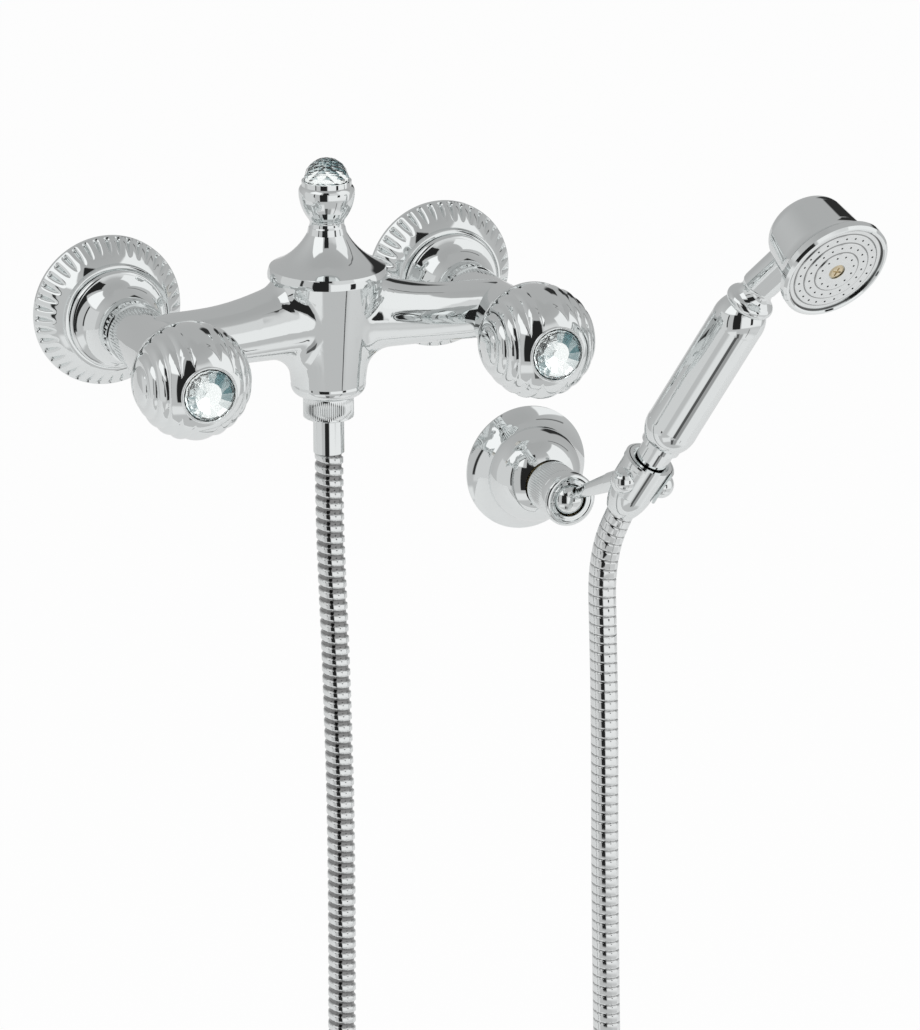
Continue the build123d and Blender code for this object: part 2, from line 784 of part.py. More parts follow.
def cradle():
    """Slotted conical cup with two round bosses and a neck for the rod."""
    cup = turned(
        (0.0, cradle_foot),
        (cradle_foot_radius - edge, cradle_foot),
        (cradle_foot_radius, cradle_foot + edge),
        (cradle_radius - cradle_ring, cradle_taper_end),
        (cradle_radius, cradle_taper_end + cradle_ring),
        (cradle_radius, cradle_lip - fine_edge),
        (cradle_radius - fine_edge, cradle_lip),
        (0.0, cradle_lip),
    )
    for side in (-1, 1):
        cup += Pos(boss_forward, side * boss_spread, boss_height) * Sphere(boss_radius)
    cup = cradle_place * cup
    neck = tube(rod_large_radius + cradle_neck_wall, rod_length - rod_stop, rod_length - cradle_neck_end)
    socket_top = rod_length - rod_stop + rod_tenon_length + seat_gap
    neck -= tube(rod_tenon_radius + thread_gap, rod_length - rod_stop, socket_top)
    cup += rod_place * neck
    bore = turned(
        (0.0, cone_foot),
        (cone_foot_radius + cone_gap, cone_foot),
        (cone_knee_radius + cone_gap, cone_knee, cone_swell),
        (cone_top_radius + cone_gap, cone_top),
        (cone_top_radius + cone_gap, cradle_bore_top),
        (0.0, cradle_bore_top),
    )
    slot = Box(2 * cradle_radius, cradle_slot_width, 4 * cradle_radius)
    slot = Pos(cradle_radius, 0, cradle_foot / 2) * slot
    return cup - cradle_place * bore - cradle_place * slot


def cone_nut():
    """Conical nut that joins the hose to the hand shower and sits in the cradle."""
    cone = turned(
        (0.0, cone_foot),
        (cone_foot_radius, cone_foot),
        (cone_knee_radius, cone_knee, cone_swell),
        (cone_top_radius, cone_top),
        (0.0, cone_top),
    )
    cone -= tube(cone_core_radius + thread_gap, cone_joint_foot - gasket_thickness - ferrule_flange, cone_top)
    return cone - tube(hose_radius + seat_gap, cone_foot, cone_top)


def hand_ferrule():
    """Sleeve at the hose's other end, free to swivel in the cone nut."""
    top = cone_joint_foot - gasket_thickness
    outer = cone_core_radius - cone_gasket_margin
    flange = tube(outer, top - ferrule_flange + running_gap, top - running_gap)
    sleeve = tube(hose_radius, hose_top, top - running_gap)
    return sleeve + flange - tube(hose_bore_radius, hose_top, top)


def hand_gasket():
    """Washer between the ferrule and the shank."""
    outer = cone_core_radius - cone_gasket_margin
    return tube(outer, cone_joint_foot - gasket_thickness, cone_joint_foot, hose_bore_radius)


def shank():
    """Threaded foot of the hand shower with its thin flange."""
    foot = turned(
        (water_tube_bore, cone_joint_foot),
        (cone_core_radius, cone_joint_foot),
        (cone_core_radius, shank_screw_top),
        (shank_radius, shank_screw_top),
        (shank_radius, flange_foot - edge),
        (flange_radius, flange_foot),
        (flange_radius, handle_foot),
        (water_tube_bore, handle_foot),
    )
    return foot


def water_tube():
    """Inner pipe from the shank to the neck."""
    return tube(water_tube_radius, handle_foot, handle_top, water_tube_bore)


def handle():
    """Hollow sleeve with rounded shoulders."""
    wall = handle_wall
    low = handle_foot
    return turned(
        (water_tube_radius + thread_gap, low),
        (handle_mouth_radius, low),
        (handle_radius, low + handle_shoulder, handle_swell),
        (handle_radius, handle_top - handle_shoulder),
        (handle_mouth_radius, handle_top, handle_swell),
        (water_tube_radius + thread_gap, handle_top),
        (water_tube_radius + thread_gap, handle_top - wall),
        (handle_mouth_radius - wall, handle_top - wall),
        (handle_radius - wall, handle_top - handle_shoulder, -handle_inner_swell),
        (handle_radius - wall, low + handle_shoulder),
        (handle_mouth_radius - wall, low + wall, -handle_inner_swell),
        (water_tube_radius + thread_gap, low + wall),
    )


def collar():
    """Ring with a concave flare between handle and neck."""
    return turned(
        (water_tube_bore, handle_top),
        (collar_radius - collar_groove, handle_top),
        (collar_radius - collar_groove, collar_top - fine_edge, collar_swell),
        (neck_pipe_radius, neck_foot, -collar_hollow),
        (water_tube_bore, neck_foot),
    )


def shower_head():
    """Neck pipe and hollow head in one casting, with the post that takes the plate's screw."""
    barrel_outer = turned(
        (0.0, plate_back + spray_gasket_thickness),
        (head_foot_radius, plate_back + spray_gasket_thickness),
        (head_foot_radius, rim_length),
        (rim_radius - edge, rim_length + head_edge),
        (head_waist_radius, head_waist, -head_waist_hollow),
        (head_barrel_radius, head_barrel_end),
        (head_back_radius, head_back, head_shoulder_swell),
        (head_crown_radius, head_back + head_dome, head_dome_swell),
        (0.0, head_back + head_dome),
    )
    pipe_length = neck_pipe_length - head_barrel_radius / 2
    leaning = neck * (tube(neck_pipe_radius, 0, pipe_length) + Sphere(neck_pipe_radius))
    pipe = split(leaning, neck_joint, keep=Keep.TOP)
    cavity = turned(
        (0.0, plate_back),
        (head_mouth_radius, plate_back),
        (head_mouth_radius, rim_length + head_mouth_depth),
        (head_waist_radius - head_wall, head_waist, -head_waist_hollow),
        (head_barrel_radius - head_wall, head_barrel_end),
        (head_back_radius - head_wall / 2, head_back - head_wall, head_shoulder_swell),
        (head_crown_radius, head_back + head_dome - head_wall, head_dome_swell),
        (0.0, head_back + head_dome - head_wall),
    )
    casting = head * barrel_outer + pipe
    casting -= head * cavity
    casting -= neck * (tube(water_tube_bore, 0, neck_pipe_length) + Sphere(water_tube_bore))
    back = head_back + head_dome - head_wall / 2
    post = tube(plate_screw_shank + plate_post_wall, plate_back + plate_post_gap, back)
    post -= tube(plate_screw_shank + thread_gap, plate_back, plate_back + plate_screw_length)
    return casting + head * post


plate_front = sum(rise for radius, rise in plate_steps)
plate_back = plate_front + plate_thickness


def rim_ring():
    """Screwed ring with a rolled lip that holds the spray plate."""
    inner = rim_radius - rim_wall
    return turned(
        (rim_lip_radius, rim_lip_depth),
        (rim_lip_radius + fine_edge, 0.0),
        (rim_radius - rim_bevel, 0.0),
        (rim_radius, rim_bevel),
        (rim_radius, rim_length - fine_edge),
        (rim_radius - fine_edge, rim_length),
        (inner, rim_length),
        (inner, plate_front),
        (rim_lip_radius, plate_front),
    )


def spray_plate():
    """Stepped plate with three rings of jets and a recess for its screw."""
    plate = tube(head_foot_radius, plate_front, plate_back)
    level = plate_front
    for radius, rise in plate_steps:
        plate += turned(
            (0.0, level),
            (radius, level),
            (radius - plate_step_slope, level - rise),
            (0.0, level - rise),
        )
        level -= rise
    for count, radius in spray_rings:
        for jet in range(count):
            turn = Rot(0, 0, jet * 360 / count)
            plate -= turn * Pos(radius, 0, 0) * extrude(RegularPolygon(spray_hole_radius, 6), plate_back)
    plate -= tube(plate_screw_radius + seat_gap, 0, plate_screw_head)
    return plate - tube(plate_screw_shank + thread_gap, 0, plate_back)


def spray_gasket():
    """Flat ring behind the edge of the plate."""
    return tube(head_foot_radius, plate_back, plate_back + spray_gasket_thickness, head_mouth_radius)


def plate_screw():
    """Cross-slotted screw in the middle of the plate."""
    tip = plate_back + plate_screw_length - 2 * plate_screw_head
    screw = turned(
        (0.0, plate_screw_sink),
        (plate_screw_radius - plate_screw_bevel, plate_screw_sink),
        (plate_screw_radius, plate_screw_head / 2),
        (plate_screw_radius, plate_screw_head),
        (plate_screw_shank, plate_screw_head),
        (plate_screw_shank, tip),
        (0.0, tip),
    )
    slot_depth = plate_screw_slot[2]
    for turn in (0, 90):
        screw -= Rot(0, 0, turn) * Pos(0, 0, slot_depth / 2 - plate_screw_sink) * Box(*plate_screw_slot)
    return screw


hose_start = (0.0, -body_reach, ferrule_foot)
hose_finish = tuple(Vector(*mouth) + hand_axis * hose_top)
hose_way_out = tuple(Vector(*mouth) + hand_axis * (hose_top - hose_end_run))

# The hose's line, down from the mixer, round its free loop and up to the hand shower. Its first and
# last points lie on the fittings' axes.
hose_route = [
    hose_start,
    (0.0, -body_reach, ferrule_foot - hose_end_run),
    (0.5, -65.2, -100.0),
    (2.4, -65.0, -146.0),
    (4.4, -65.2, -234.0),
    (2.4, -66.6, -390.0),
    (-2.6, -68.2, -476.0),
    (-5.6, -69.2, -530.0),
    (-6.2, -70.0, -586.0),
    (33.6, -71.6, -626.0),
    (90.4, -73.4, -626.0),
    (130.2, -75.0, -586.0),
    (129.8, -76.2, -530.0),
    (126.0, -77.8, -424.0),
    (121.4, -79.4, -268.0),
    (120.4, -79.9, -186.0),
    (119.3, -79.4, -141.4),
    (118.6, -78.9, -115.4),
    hose_way_out,
    hose_finish,
]


def hose_line():
    """Straight runs joined by tangent arcs, each as large as its two runs allow."""
    points = [Vector(*point) for point in hose_route]
    radii = []
    for before, here, after in zip(points, points[1:], points[2:]):
        first = here - before
        second = after - here
        turn = first.get_angle(second)
        radii.append(bend_share * min(first.length, second.length) / math.tan(math.radians(turn / 2)))
    runs = [(after - before).length for before, after in zip(points, points[1:])]
    print("hose runs", [round(run, 1) for run in runs])
    print("hose radii", [round(radius, 1) for radius in radii])
    return FilletPolyline(*points, radius=radii)


def hose_ring(line, along, radius):
    """Disc across the hose's line, at a distance along it."""
    share = along / line.length
    plane = Plane(origin=line.position_at(share), x_dir=(0, 1, 0), z_dir=line.tangent_at(share))
    return plane * Circle(radius)


def hose_stretch(line, first, count):
    """Ribbed stretch of the hose with its bore, from one rib to another."""
    pitch = (line.length - 2 * hose_end_plain) / sum(hose_ribs)
    start = hose_end_plain + first * pitch
    groove = hose_radius - hose_groove_depth
    marks = []
    if first == 0:
        marks += [(0.0, hose_radius), (start - hose_rib_slope, hose_radius)]
    for rib in range(count):
        foot = start + rib * pitch
        marks.append((foot, groove))
        marks.append((foot + hose_groove_width, groove))
        marks.append((foot + hose_groove_width + hose_rib_slope, hose_radius))
        marks.append((foot + pitch - hose_rib_slope, hose_radius))
    end = start + count * pitch
    marks.append((end, groove))
    if first + count == sum(hose_ribs):
        marks += [(end + hose_rib_slope, hose_radius), (line.length, hose_radius)]
    stretch = loft([hose_ring(line, along, radius) for along, radius in marks], ruled=True)
    steps = [start + rib * pitch for rib in range(count + 1)]
    if first == 0:
        steps.insert(0, 0.0)
    if first + count == sum(hose_ribs):
        steps.append(line.length)
    bore = loft([hose_ring(line, along, hose_bore_radius) for along in steps], ruled=True)
    return stretch - bore


def save(name, solid):
    solid.label = name
    export_step(solid, f"parts/{name}.step")
    print(f"{name:24s} {solid.volume:10.1f} mm3")


def main():
    os.makedirs("parts", exist_ok=True)
    for side, name in ((-1, "left"), (1, "right")):
        place = out_of_wall(side * inlet_spacing / 2, 0)
        save(f"inlet_union_{name}", place * inlet_union())
        save(f"inlet_gasket_{name}", place * inlet_gasket())
        save(f"rosette_{name}", place * rosette())
        save(f"bell_{name}", place * bell())
        save(f"union_nut_{name}", place * union_nut())
        save(f"headwork_{name}", place * headwork())
        save(f"fixed_disc_{name}", place * disc(0, 0))
        save(f"turning_disc_{name}", place * disc(1, side * disc_shut_turn))
        save(f"spindle_{name}", place * spindle())
        knob_place = place * Pos(0, 0, knob_reach)
        save(f"knob_{name}", knob_place * knob())
        save(f"knob_screw_{name}", knob_place * knob_screw())
        save(f"knob_crystal_{name}", knob_place * knob_crystal())
    save("mixer_body", mixer_body())
    top = Pos(0, -body_reach, neck_height)
    save("finial_cup", top * finial_cup())
    save("finial_crystal", top * finial_crystal())
    save("outlet_nipple", at_body(outlet_nipple()))
    save("check_valve", at_body(check_valve()))
    save("outlet_gasket", at_body(outlet_gasket()))
    save("hose_nut", at_body(hose_nut()))
    save("mixer_ferrule", at_body(mixer_ferrule()))
    bracket = out_of_wall(bracket_x, bracket_z)
    save("bracket_plate", bracket * bracket_plate())
    save("bracket_screws", bracket * bracket_screws())
    save("bracket_rosette", bracket * bracket_rosette())
    save("bracket_socket", bracket * bracket_socket())
    save("clamp_nut", bracket * clamp_nut())
    save("ball_arm", ball_arm())
    save("cradle", cradle())
    save("cone_nut", hand * cone_nut())
    save("hand_ferrule", hand * hand_ferrule())
    save("hand_gasket", hand * hand_gasket())
    save("shank", hand * shank())
    save("water_tube", hand * water_tube())
    save("handle", hand * handle())
    save("collar", hand * collar())
    save("shower_head", shower_head())
    save("rim_ring", head * rim_ring())
    save("spray_plate", head * spray_plate())
    save("spray_gasket", head * spray_gasket())
    save("plate_screw", head * plate_screw())
    line = hose_line()
    mixer_ribs, loop_ribs, hand_ribs = hose_ribs
    mixer_leg = hose_stretch(line, 0, mixer_ribs)
    loop = hose_stretch(line, mixer_ribs, loop_ribs)
    hand_leg = hose_stretch(line, mixer_ribs + loop_ribs, hand_ribs)
    save("hose_mixer_leg", mixer_leg)
    save("hose_loop", loop)
    save("hose_hand_leg", hand_leg)
    tube_volume = math.pi * (hose_radius**2 - hose_bore_radius**2) * line.length
    share = (mixer_leg.volume + loop.volume + hand_leg.volume) / tube_volume
    print(f"hose length {line.length:.1f} mm, {share:.3f} of a plain tube's volume")


main()
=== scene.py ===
import json
import math
import random

import bmesh
import bpy
from mathutils import Matrix, Vector


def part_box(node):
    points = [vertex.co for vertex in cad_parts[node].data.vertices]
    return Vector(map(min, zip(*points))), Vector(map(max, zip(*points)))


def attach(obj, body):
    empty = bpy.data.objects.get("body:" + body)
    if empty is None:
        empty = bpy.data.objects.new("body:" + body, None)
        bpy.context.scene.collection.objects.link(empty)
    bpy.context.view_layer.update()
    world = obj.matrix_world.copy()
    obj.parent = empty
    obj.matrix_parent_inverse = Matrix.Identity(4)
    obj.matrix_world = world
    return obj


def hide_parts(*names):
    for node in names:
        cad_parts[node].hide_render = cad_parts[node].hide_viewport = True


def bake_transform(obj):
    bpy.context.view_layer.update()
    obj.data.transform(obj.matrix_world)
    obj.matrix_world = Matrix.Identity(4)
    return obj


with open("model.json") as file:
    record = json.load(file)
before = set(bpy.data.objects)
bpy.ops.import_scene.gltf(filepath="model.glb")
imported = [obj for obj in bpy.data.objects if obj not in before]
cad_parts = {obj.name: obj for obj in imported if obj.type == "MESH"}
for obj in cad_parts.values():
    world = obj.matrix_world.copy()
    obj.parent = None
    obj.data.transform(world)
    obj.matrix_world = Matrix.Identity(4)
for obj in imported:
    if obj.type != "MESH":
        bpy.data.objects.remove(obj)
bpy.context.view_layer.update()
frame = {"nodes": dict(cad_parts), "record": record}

# A wall-mounted shower mixer with ball knobs, cut stones, a ribbed metal hose and a hand shower in
# the cradle of its wall bracket. Metres, unless a comment says otherwise. The wall is the plane
# y = 0 and the set stands out towards -Y.

scene = bpy.context.scene
scene.view_settings.view_transform = "Standard"
millimetre = 0.001

# Camera
image_width = 920
camera_azimuth = math.radians(-21.95)
camera_elevation = math.radians(18.65)
camera_distance = 2.18852
camera_target = Vector((0.08518, 0.0, -0.11146))
camera_reach = 50.0
focal_pixels = 4988.13
sensor_width = 36.0

# Studio, in degrees. A bearing counts from the camera's side, positive to its right.
tent_low, tent_high = 20.0, 75.0           # heights between which the tent's level changes
tent_low_level, tent_high_level = 0.56, 0.44
tent_side, tent_behind = 95.0, 150.0       # bearings over which it goes over to the level behind
tent_behind_level = 0.47
# Each panel: level, lowest and highest bearing, lowest and highest height, softness of its edge.
studio_panels = (
    (0.92, 8.0, 108.0, -24.0, 16.0, 1.5),      # large soft box on the right
    (0.84, 26.0, 150.0, -66.0, -44.0, 5.0),    # pale ground on the right
    (0.70, 50.0, 112.0, -44.0, -26.0, 10.0),   # soft passage between the two
    (0.84, -48.0, -10.0, -50.0, -33.0, 3.0),   # pale ground on the left
    (0.10, -8.0, 6.0, -64.0, -44.0, 1.0),      # dark strip under the camera
    (0.36, 6.0, 24.0, -66.0, -46.0, 3.5),      # grey strip beside it
    (0.74, 14.0, 60.0, 14.0, 46.0, 4.0),       # grey screen above the soft box
    (0.95, 56.0, 106.0, 14.0, 54.0, 1.5),      # soft box high on the right
    (0.70, -98.0, -50.0, -26.0, 24.0, 2.0),    # grey screen on the left
    (1.05, -78.0, -24.0, 27.0, 62.0, 1.5),     # soft box high on the left
    (0.02, -15.0, 11.0, 24.0, 57.0, 1.0),      # black gap above the camera
    (0.02, -27.0, 4.0, -25.5, 26.0, 1.0),      # black gap round the camera
    (0.02, 46.0, 57.0, -17.0, 9.0, 1.0),       # black gap in the large soft box
    (0.03, 45.5, 48.0, -58.0, -29.0, 1.0),     # black line low on the right
    (0.03, -52.0, -47.0, -17.0, 24.0, 1.0),    # black line on the left
    (0.15, 118.0, 121.0, 20.0, 60.0, 1.0),     # dark line high on the right, behind
    (0.03, 155.0, 170.0, -14.0, 36.0, 2.5),    # black gap behind the set
)
# Each lamp: name, place, power in watts.
lamps = (
    ("key_lamp", (-1.2, -1.8, 2.2), 30.0),
    ("fill_lamp", (1.6, -1.6, 0.8), 10.0),
)
lamp_aim = (0.05, 0.0, -0.1)
lamp_size = 1.6
floor_height = -0.70
floor_corners = ((-1.6, -0.2), (1.6, -0.2), (8.0, 9.0), (-2.5, 9.0))
floor_seen = 0.96          # share of plain white where the floor is seen straight or through glass
floor_mirrored = 0.3       # the same where metal mirrors it

# Finishes
chrome_colour = (0.84, 0.865, 0.865)
nickel_colour = (0.74, 0.72, 0.68)
hose_colour = (0.83, 0.85, 0.85)
# painted shade at the bottom of the hose's grooves
hose_groove_shade_colour = (0.22, 0.22, 0.22)
plate_colour = (0.80, 0.82, 0.82)
plate_shadow_colour = (0.13, 0.13, 0.13)
brass_colour = (0.80, 0.60, 0.30)
pale_brass_colour = (0.86, 0.74, 0.52)
brass_shade = 0.75         # the darkest turning marks, as a share of the colour
rubber_colour = (0.02, 0.02, 0.02)
ceramic_colour = (0.86, 0.86, 0.83)
glass_colour = (0.97, 1.0, 0.99)
glass_index = 1.52
foil_colour = (0.98, 0.99, 0.99)
# dark teal reflection painted on one side of the stones' foil
foil_painted_reflection_colour = (0.10, 0.20, 0.22)
floor_colour = (0.9, 0.9, 0.9)

# Turned pieces. A loop is closed and lists radius and height along the axis, in millimetres. A point
# with a bow and a number of steps ends an arc from the point before it. A cut lists the first and last
# point of the stretch that flutes run along, their depth in millimetres, and the shares of the stretch
# over which they deepen and fade. Edges that turn by more degrees than the crease stay sharp.
inlet_spacing = 0.150
body_reach = 0.065
sides_per_flute = 8

# Rosettes, heights from the wall
rosette_loop = (
    (30.2, 0.0), (32.2, 0.0), (32.2, 1.6), (31.9, 2.0), (23.0, 11.8, 0.5, 24), (23.0, 14.2),
    (22.8, 14.8), (22.2, 15.0), (21.4, 15.0), (21.4, 13.8), (10.6, 13.8), (10.6, 10.8), (21.0, 10.8))
rosette_cut = (3, 21, 1.8, 0.08, 0.6)
rosette_gadroons = 40
rosette_sharpness = 3.2
rosette_sides = 640
rosette_crease = 35.0

# Knobs, in millimetres, heights from the middle of the ball
knob_reach = 110.5         # from the wall to the middle of the ball
knob_ball = 23.9           # radius of the ball, to the crests of its ridges
knob_grooves = 5           # on each side
knob_groove_angle = 13.75  # degrees from one groove to the next
knob_groove_depth = 0.85
knob_groove_sharpness = 2.0
knob_ball_tolerance = 0.02  # a point within it of the ball's radius lies on the ball
knob_smooth_front = (13.2, 18.5)  # the grooves run out between these distances from the stone's axis
knob_back = 8.2            # from the middle of the ball back to its rim
knob_seat = 11.6           # radius of the seat round the stone
knob_back_loop = (
    (4.15, -18.4), (15.4, -18.4), (20.7, -9.5, 1.2, 6), (22.5, -9.5), (22.9, -9.2), (22.9, -8.5),
    (22.7, -knob_back))
knob_seat_loop = (
    (knob_seat, 21.2), (11.4, 21.4), (10.9, 21.4), (10.7, 21.2), (10.7, 18.6), (3.7, 14.0), (3.7, 11.5),
    (2.1, 11.5), (2.1, -4.4), (4.15, -4.4))
knob_steps = 96
knob_sides = 400
knob_crease = 70.0

# Hose nut, heights from its lower end
hose_nut_low, hose_nut_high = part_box("hose_nut")
hose_nut_tall = (hose_nut_high[2] - hose_nut_low[2]) / millimetre
hose_nut_loop = (
    (6.55, 0.0), (10.1, 0.0), (10.6, 0.4), (10.6, 0.9), (10.6, hose_nut_tall - 0.9, 0.0, 8),
    (10.6, hose_nut_tall - 0.4), (10.1, hose_nut_tall), (9.4, hose_nut_tall), (9.4, 1.4), (6.55, 1.4))
hose_nut_cut = (3, 11, 0.3, 0.25, 0.25)
hose_nut_flutes = 72
hose_nut_sharpness = 1.5
hose_nut_crease = 50.0

# Clamp nut and cover of the bracket, heights from the wall
bracket_place = (0.1161, 0.0, -0.0929)
clamp_nut_loop = (
    (9.3, 28.7), (10.8, 28.7), (11.1, 29.0), (11.1, 29.6), (11.1, 43.6, 0.0, 8), (11.1, 44.2), (10.7, 44.6),
    (10.7, 45.0), (11.8, 45.8), (11.8, 49.6), (10.3, 51.0, 0.2, 4), (9.6, 51.0), (9.3, 50.6), (8.5, 50.6),
    (8.2, 50.9), (7.4, 50.9), (7.3, 50.7), (7.3, 49.4), (8.4, 47.5), (8.6, 45.5), (9.3, 45.5))
clamp_cut = (3, 11, 0.35, 0.25, 0.25)
clamp_knurls = 64
clamp_sharpness = 1.3
clamp_crease = 40.0
cover_loop = (
    (9.28, 25.2), (9.28, 27.0), (11.2, 27.0), (21.3, 9.5, -2.8, 24), (21.5, 9.1), (27.9, 1.0, 0.5, 12),
    (27.9, 0.0), (25.5, 0.0), (17.7, 9.5), (11.0, 23.5))
cover_sides = 256
cover_crease = 18.0

# Stones. Tiers are radius and height of each ring of facets from the girdle up, back tiers radius and
# depth of each ring behind it.
knob_stone_sides = 16
knob_stone_girdle = 0.0024
knob_stone_tiers = ((0.0104, 0.0), (0.0103, 0.0006), (0.0095, 0.0018), (0.0083, 0.0026), (0.0070, 0.0032))
knob_stone_back = ((0.0086, 0.0011), (0.0052, 0.0021), (0.0014, 0.0030))
finial_stone_sides = 10
finial_stone_girdle = 0.0012
finial_stone_tiers = (
    (0.0093, 0.0), (0.0093, 0.0014), (0.0086, 0.0042), (0.0066, 0.0070), (0.0038, 0.0088), (0.0012, 0.0095))
finial_stone_back = ((0.0070, 0.0006), (0.0020, 0.0011))
painted_reflection_turn = math.radians(20.0)  # the side on which a dark reflection is painted on the foil
painted_reflection_spread = (0.7, 1.8)        # how unevenly its facets take that painted reflection
stone_seed = 7

# Spray plate: the middle of its face, its axis, and the radii of its steps and of the gap at the rim, along
# which shade is painted into its colour
plate_place = (0.17746, -0.17871, 0.03652)
plate_axis = (-0.1072, 0.8834, 0.4563)
plate_steps = (0.0100, 0.0147, 0.0189)
plate_step_line = (0.00008, 0.00038)   # distances from a step over which its shadow fades
plate_step_shadow = 0.75
plate_gap = 0.0210
plate_gap_edge = 0.0005

# Hose
hose_radius = 0.006
hose_rib_depth = 0.00075
hose_sides = 28
hose_step = 0.0003
mixer_rib_pitch = 0.0050
mixer_rib_groove = 0.48    # share of a rib's half pitch at which its groove starts
hand_rib_pitch = 0.00435
hand_rib_groove = 0.84
rib_crown = 0.06           # how far a rib falls off from its middle, as a share of the depth
groove_flank = 0.12        # width of the groove's flank, as a share of the half pitch
groove_bottom = 0.94       # depth of the groove's bottom below the rib's edge, as a share of the depth
hose_line_steps = 24
hose_rising_from = -0.44
hose_rising_to = -0.145
hose_route_mm = [
    (0.0, -65.0, -52.2),
    (0.0, -65.0, -74.2),
    (0.5, -65.2, -100.0),
    (2.4, -65.0, -146.0),
    (4.4, -65.2, -234.0),
    (2.4, -66.6, -390.0),
    (-2.6, -68.2, -476.0),
    (-5.6, -69.2, -530.0),
    (-6.2, -70.0, -586.0),
    (33.6, -71.6, -626.0),
    (90.4, -73.4, -626.0),
    (130.2, -75.0, -586.0),
    (129.8, -76.2, -530.0),
    (126.0, -77.8, -424.0),
    (121.4, -79.4, -268.0),
    (120.4, -79.9, -186.0),
    (119.3, -79.4, -141.4),
    (118.6, -78.9, -115.4),
    (122.31, -82.37, -93.04),
    (129.10, -91.32, -74.12),
]


class Value:
    """A shader socket that takes plain arithmetic."""

    def __init__(self, tree, socket):
        self.tree = tree
        self.socket = socket

    def node(self, kind, inputs=(), output=0, **settings):
        """Adds any other node: its settings, then its inputs by name or number."""
        added = self.tree.nodes.new(kind)
        for name, setting in settings.items():
            setattr(added, name, setting)
        for name, given in dict(inputs).items():
            if isinstance(given, Value):
                self.tree.links.new(given.socket, added.inputs[name])
            else:
                added.inputs[name].default_value = given
        return Value(self.tree, added.outputs[output])

    def maths(self, operation, *others):
        given = dict(enumerate((self, *others)))
        return self.node("ShaderNodeMath", given, operation=operation)

    def __add__(self, other):
        return self.maths("ADD", other)

    def __radd__(self, other):
        return self.maths("ADD", other)

    def __sub__(self, other):
        return self.maths("SUBTRACT", other)

    def __rsub__(self, other):
        return self.node("ShaderNodeMath", {0: other, 1: self}, operation="SUBTRACT")

    def __mul__(self, other):
        return self.maths("MULTIPLY", other)

    def __rmul__(self, other):
        return self.maths("MULTIPLY", other)

    def __truediv__(self, other):
        return self.maths("DIVIDE", other)

    def __rtruediv__(self, other):
        return self.node("ShaderNodeMath", {0: other, 1: self}, operation="DIVIDE")

    def absolute(self):
        return self.maths("ABSOLUTE")

    def smooth(self, low, high, low_value=0.0, high_value=1.0):
        """Eases from one value to another between two limits."""
        inputs = {"Value": self, "From Min": low, "From Max": high, "To Min": low_value, "To Max": high_value}
        return self.node("ShaderNodeMapRange", inputs, interpolation_type="SMOOTHSTEP")

    def mix(self, low, high):
        """Blends two numbers by this one."""
        return low + (high - low) * self

    def tint(self, low, high):
        """Blends two colours by this number."""
        ends = {"Factor": self, 6: (*low, 1.0), 7: (*high, 1.0)}
        return self.node("ShaderNodeMix", ends, 2, data_type="RGBA")

    def noise(self, scale, detail, roughness=0.5):
        """Uneven pattern at this place, from nought to one."""
        inputs = {"Vector": self, "Scale": scale, "Detail": detail, "Roughness": roughness}
        return self.node("ShaderNodeTexNoise", inputs)


def start(tree, kind, output, **settings):
    """First value of a shader: one output of a node without inputs."""
    node = tree.nodes.new(kind)
    for name, setting in settings.items():
        setattr(node, name, setting)
    return Value(tree, node.outputs[output])


def new_material(name, metallic=0.0, colour=None):
    """A material with its main shader, and the place on the piece that its patterns read."""
    material = bpy.data.materials.new(name)
    material.use_nodes = True
    tree = material.node_tree
    shader = tree.nodes["Principled BSDF"]
    shader.inputs["Metallic"].default_value = metallic
    if colour:
        shader.inputs["Base Color"].default_value = (*colour, 1.0)
    return material, shader, start(tree, "ShaderNodeTexCoord", "Object")


def feed(shader, name, value):
    value.tree.links.new(value.socket, shader.inputs[name])


def surface_bump(shader, height, strength, distance):
    inputs = {"Height": height, "Strength": strength, "Distance": distance}
    feed(shader, "Normal", height.node("ShaderNodeBump", inputs))


def polished_plating(name, colour, brightest, dullest):
    """Bright plating: faint wipe marks in its gloss and the slightest waviness."""
    material, shader, place = new_material(name, 1.0, colour)
    smears = place.noise(scale=38.0, detail=5.0, roughness=0.6)
    feed(shader, "Roughness", smears.smooth(0.35, 0.75, brightest, dullest))
    surface_bump(shader, place.noise(scale=22.0, detail=1.0), strength=0.04, distance=0.002)
    return material


def hose_chrome():
    """Chrome of the hose, with shade painted dark at the bottom of its grooves."""
    material, shader, place = new_material("hose_chrome", 1.0)
    # painted shade: the colour darkens towards the bottom of each groove
    groove = start(place.tree, "ShaderNodeAttribute", "Fac", attribute_name="groove")
    feed(shader, "Base Color", groove.tint(hose_colour, hose_groove_shade_colour))
    feed(shader, "Roughness", place.noise(scale=60.0, detail=4.0).smooth(0.35, 0.75, 0.04, 0.10))
    return material


def satin_plate():
    """Satin chrome of the spray plate, with shade painted dark in the corners of its steps and in the gap at
    the rim.
    """
    material, shader, place = new_material("satin_plate", 1.0)
    away = place.node("ShaderNodeVectorMath", {0: place, 1: plate_place}, operation="SUBTRACT")
    across = away.node("ShaderNodeVectorMath", {0: away, 1: plate_axis}, operation="CROSS_PRODUCT")
    radius = across.node("ShaderNodeVectorMath", {0: across}, "Value", operation="LENGTH")
    # painted shade: dark beyond the rim gap and in a thin line along each step
    dark = radius.smooth(plate_gap - plate_gap_edge, plate_gap)
    for step in plate_steps:
        dark = dark + (radius - step).absolute().smooth(*plate_step_line, plate_step_shadow, 0.0)
    feed(shader, "Base Color", dark.maths("MINIMUM", 1.0).tint(plate_colour, plate_shadow_colour))
    feed(shader, "Roughness", place.noise(scale=500.0, detail=3.0).smooth(0.3, 0.7, 0.16, 0.26))
    return material


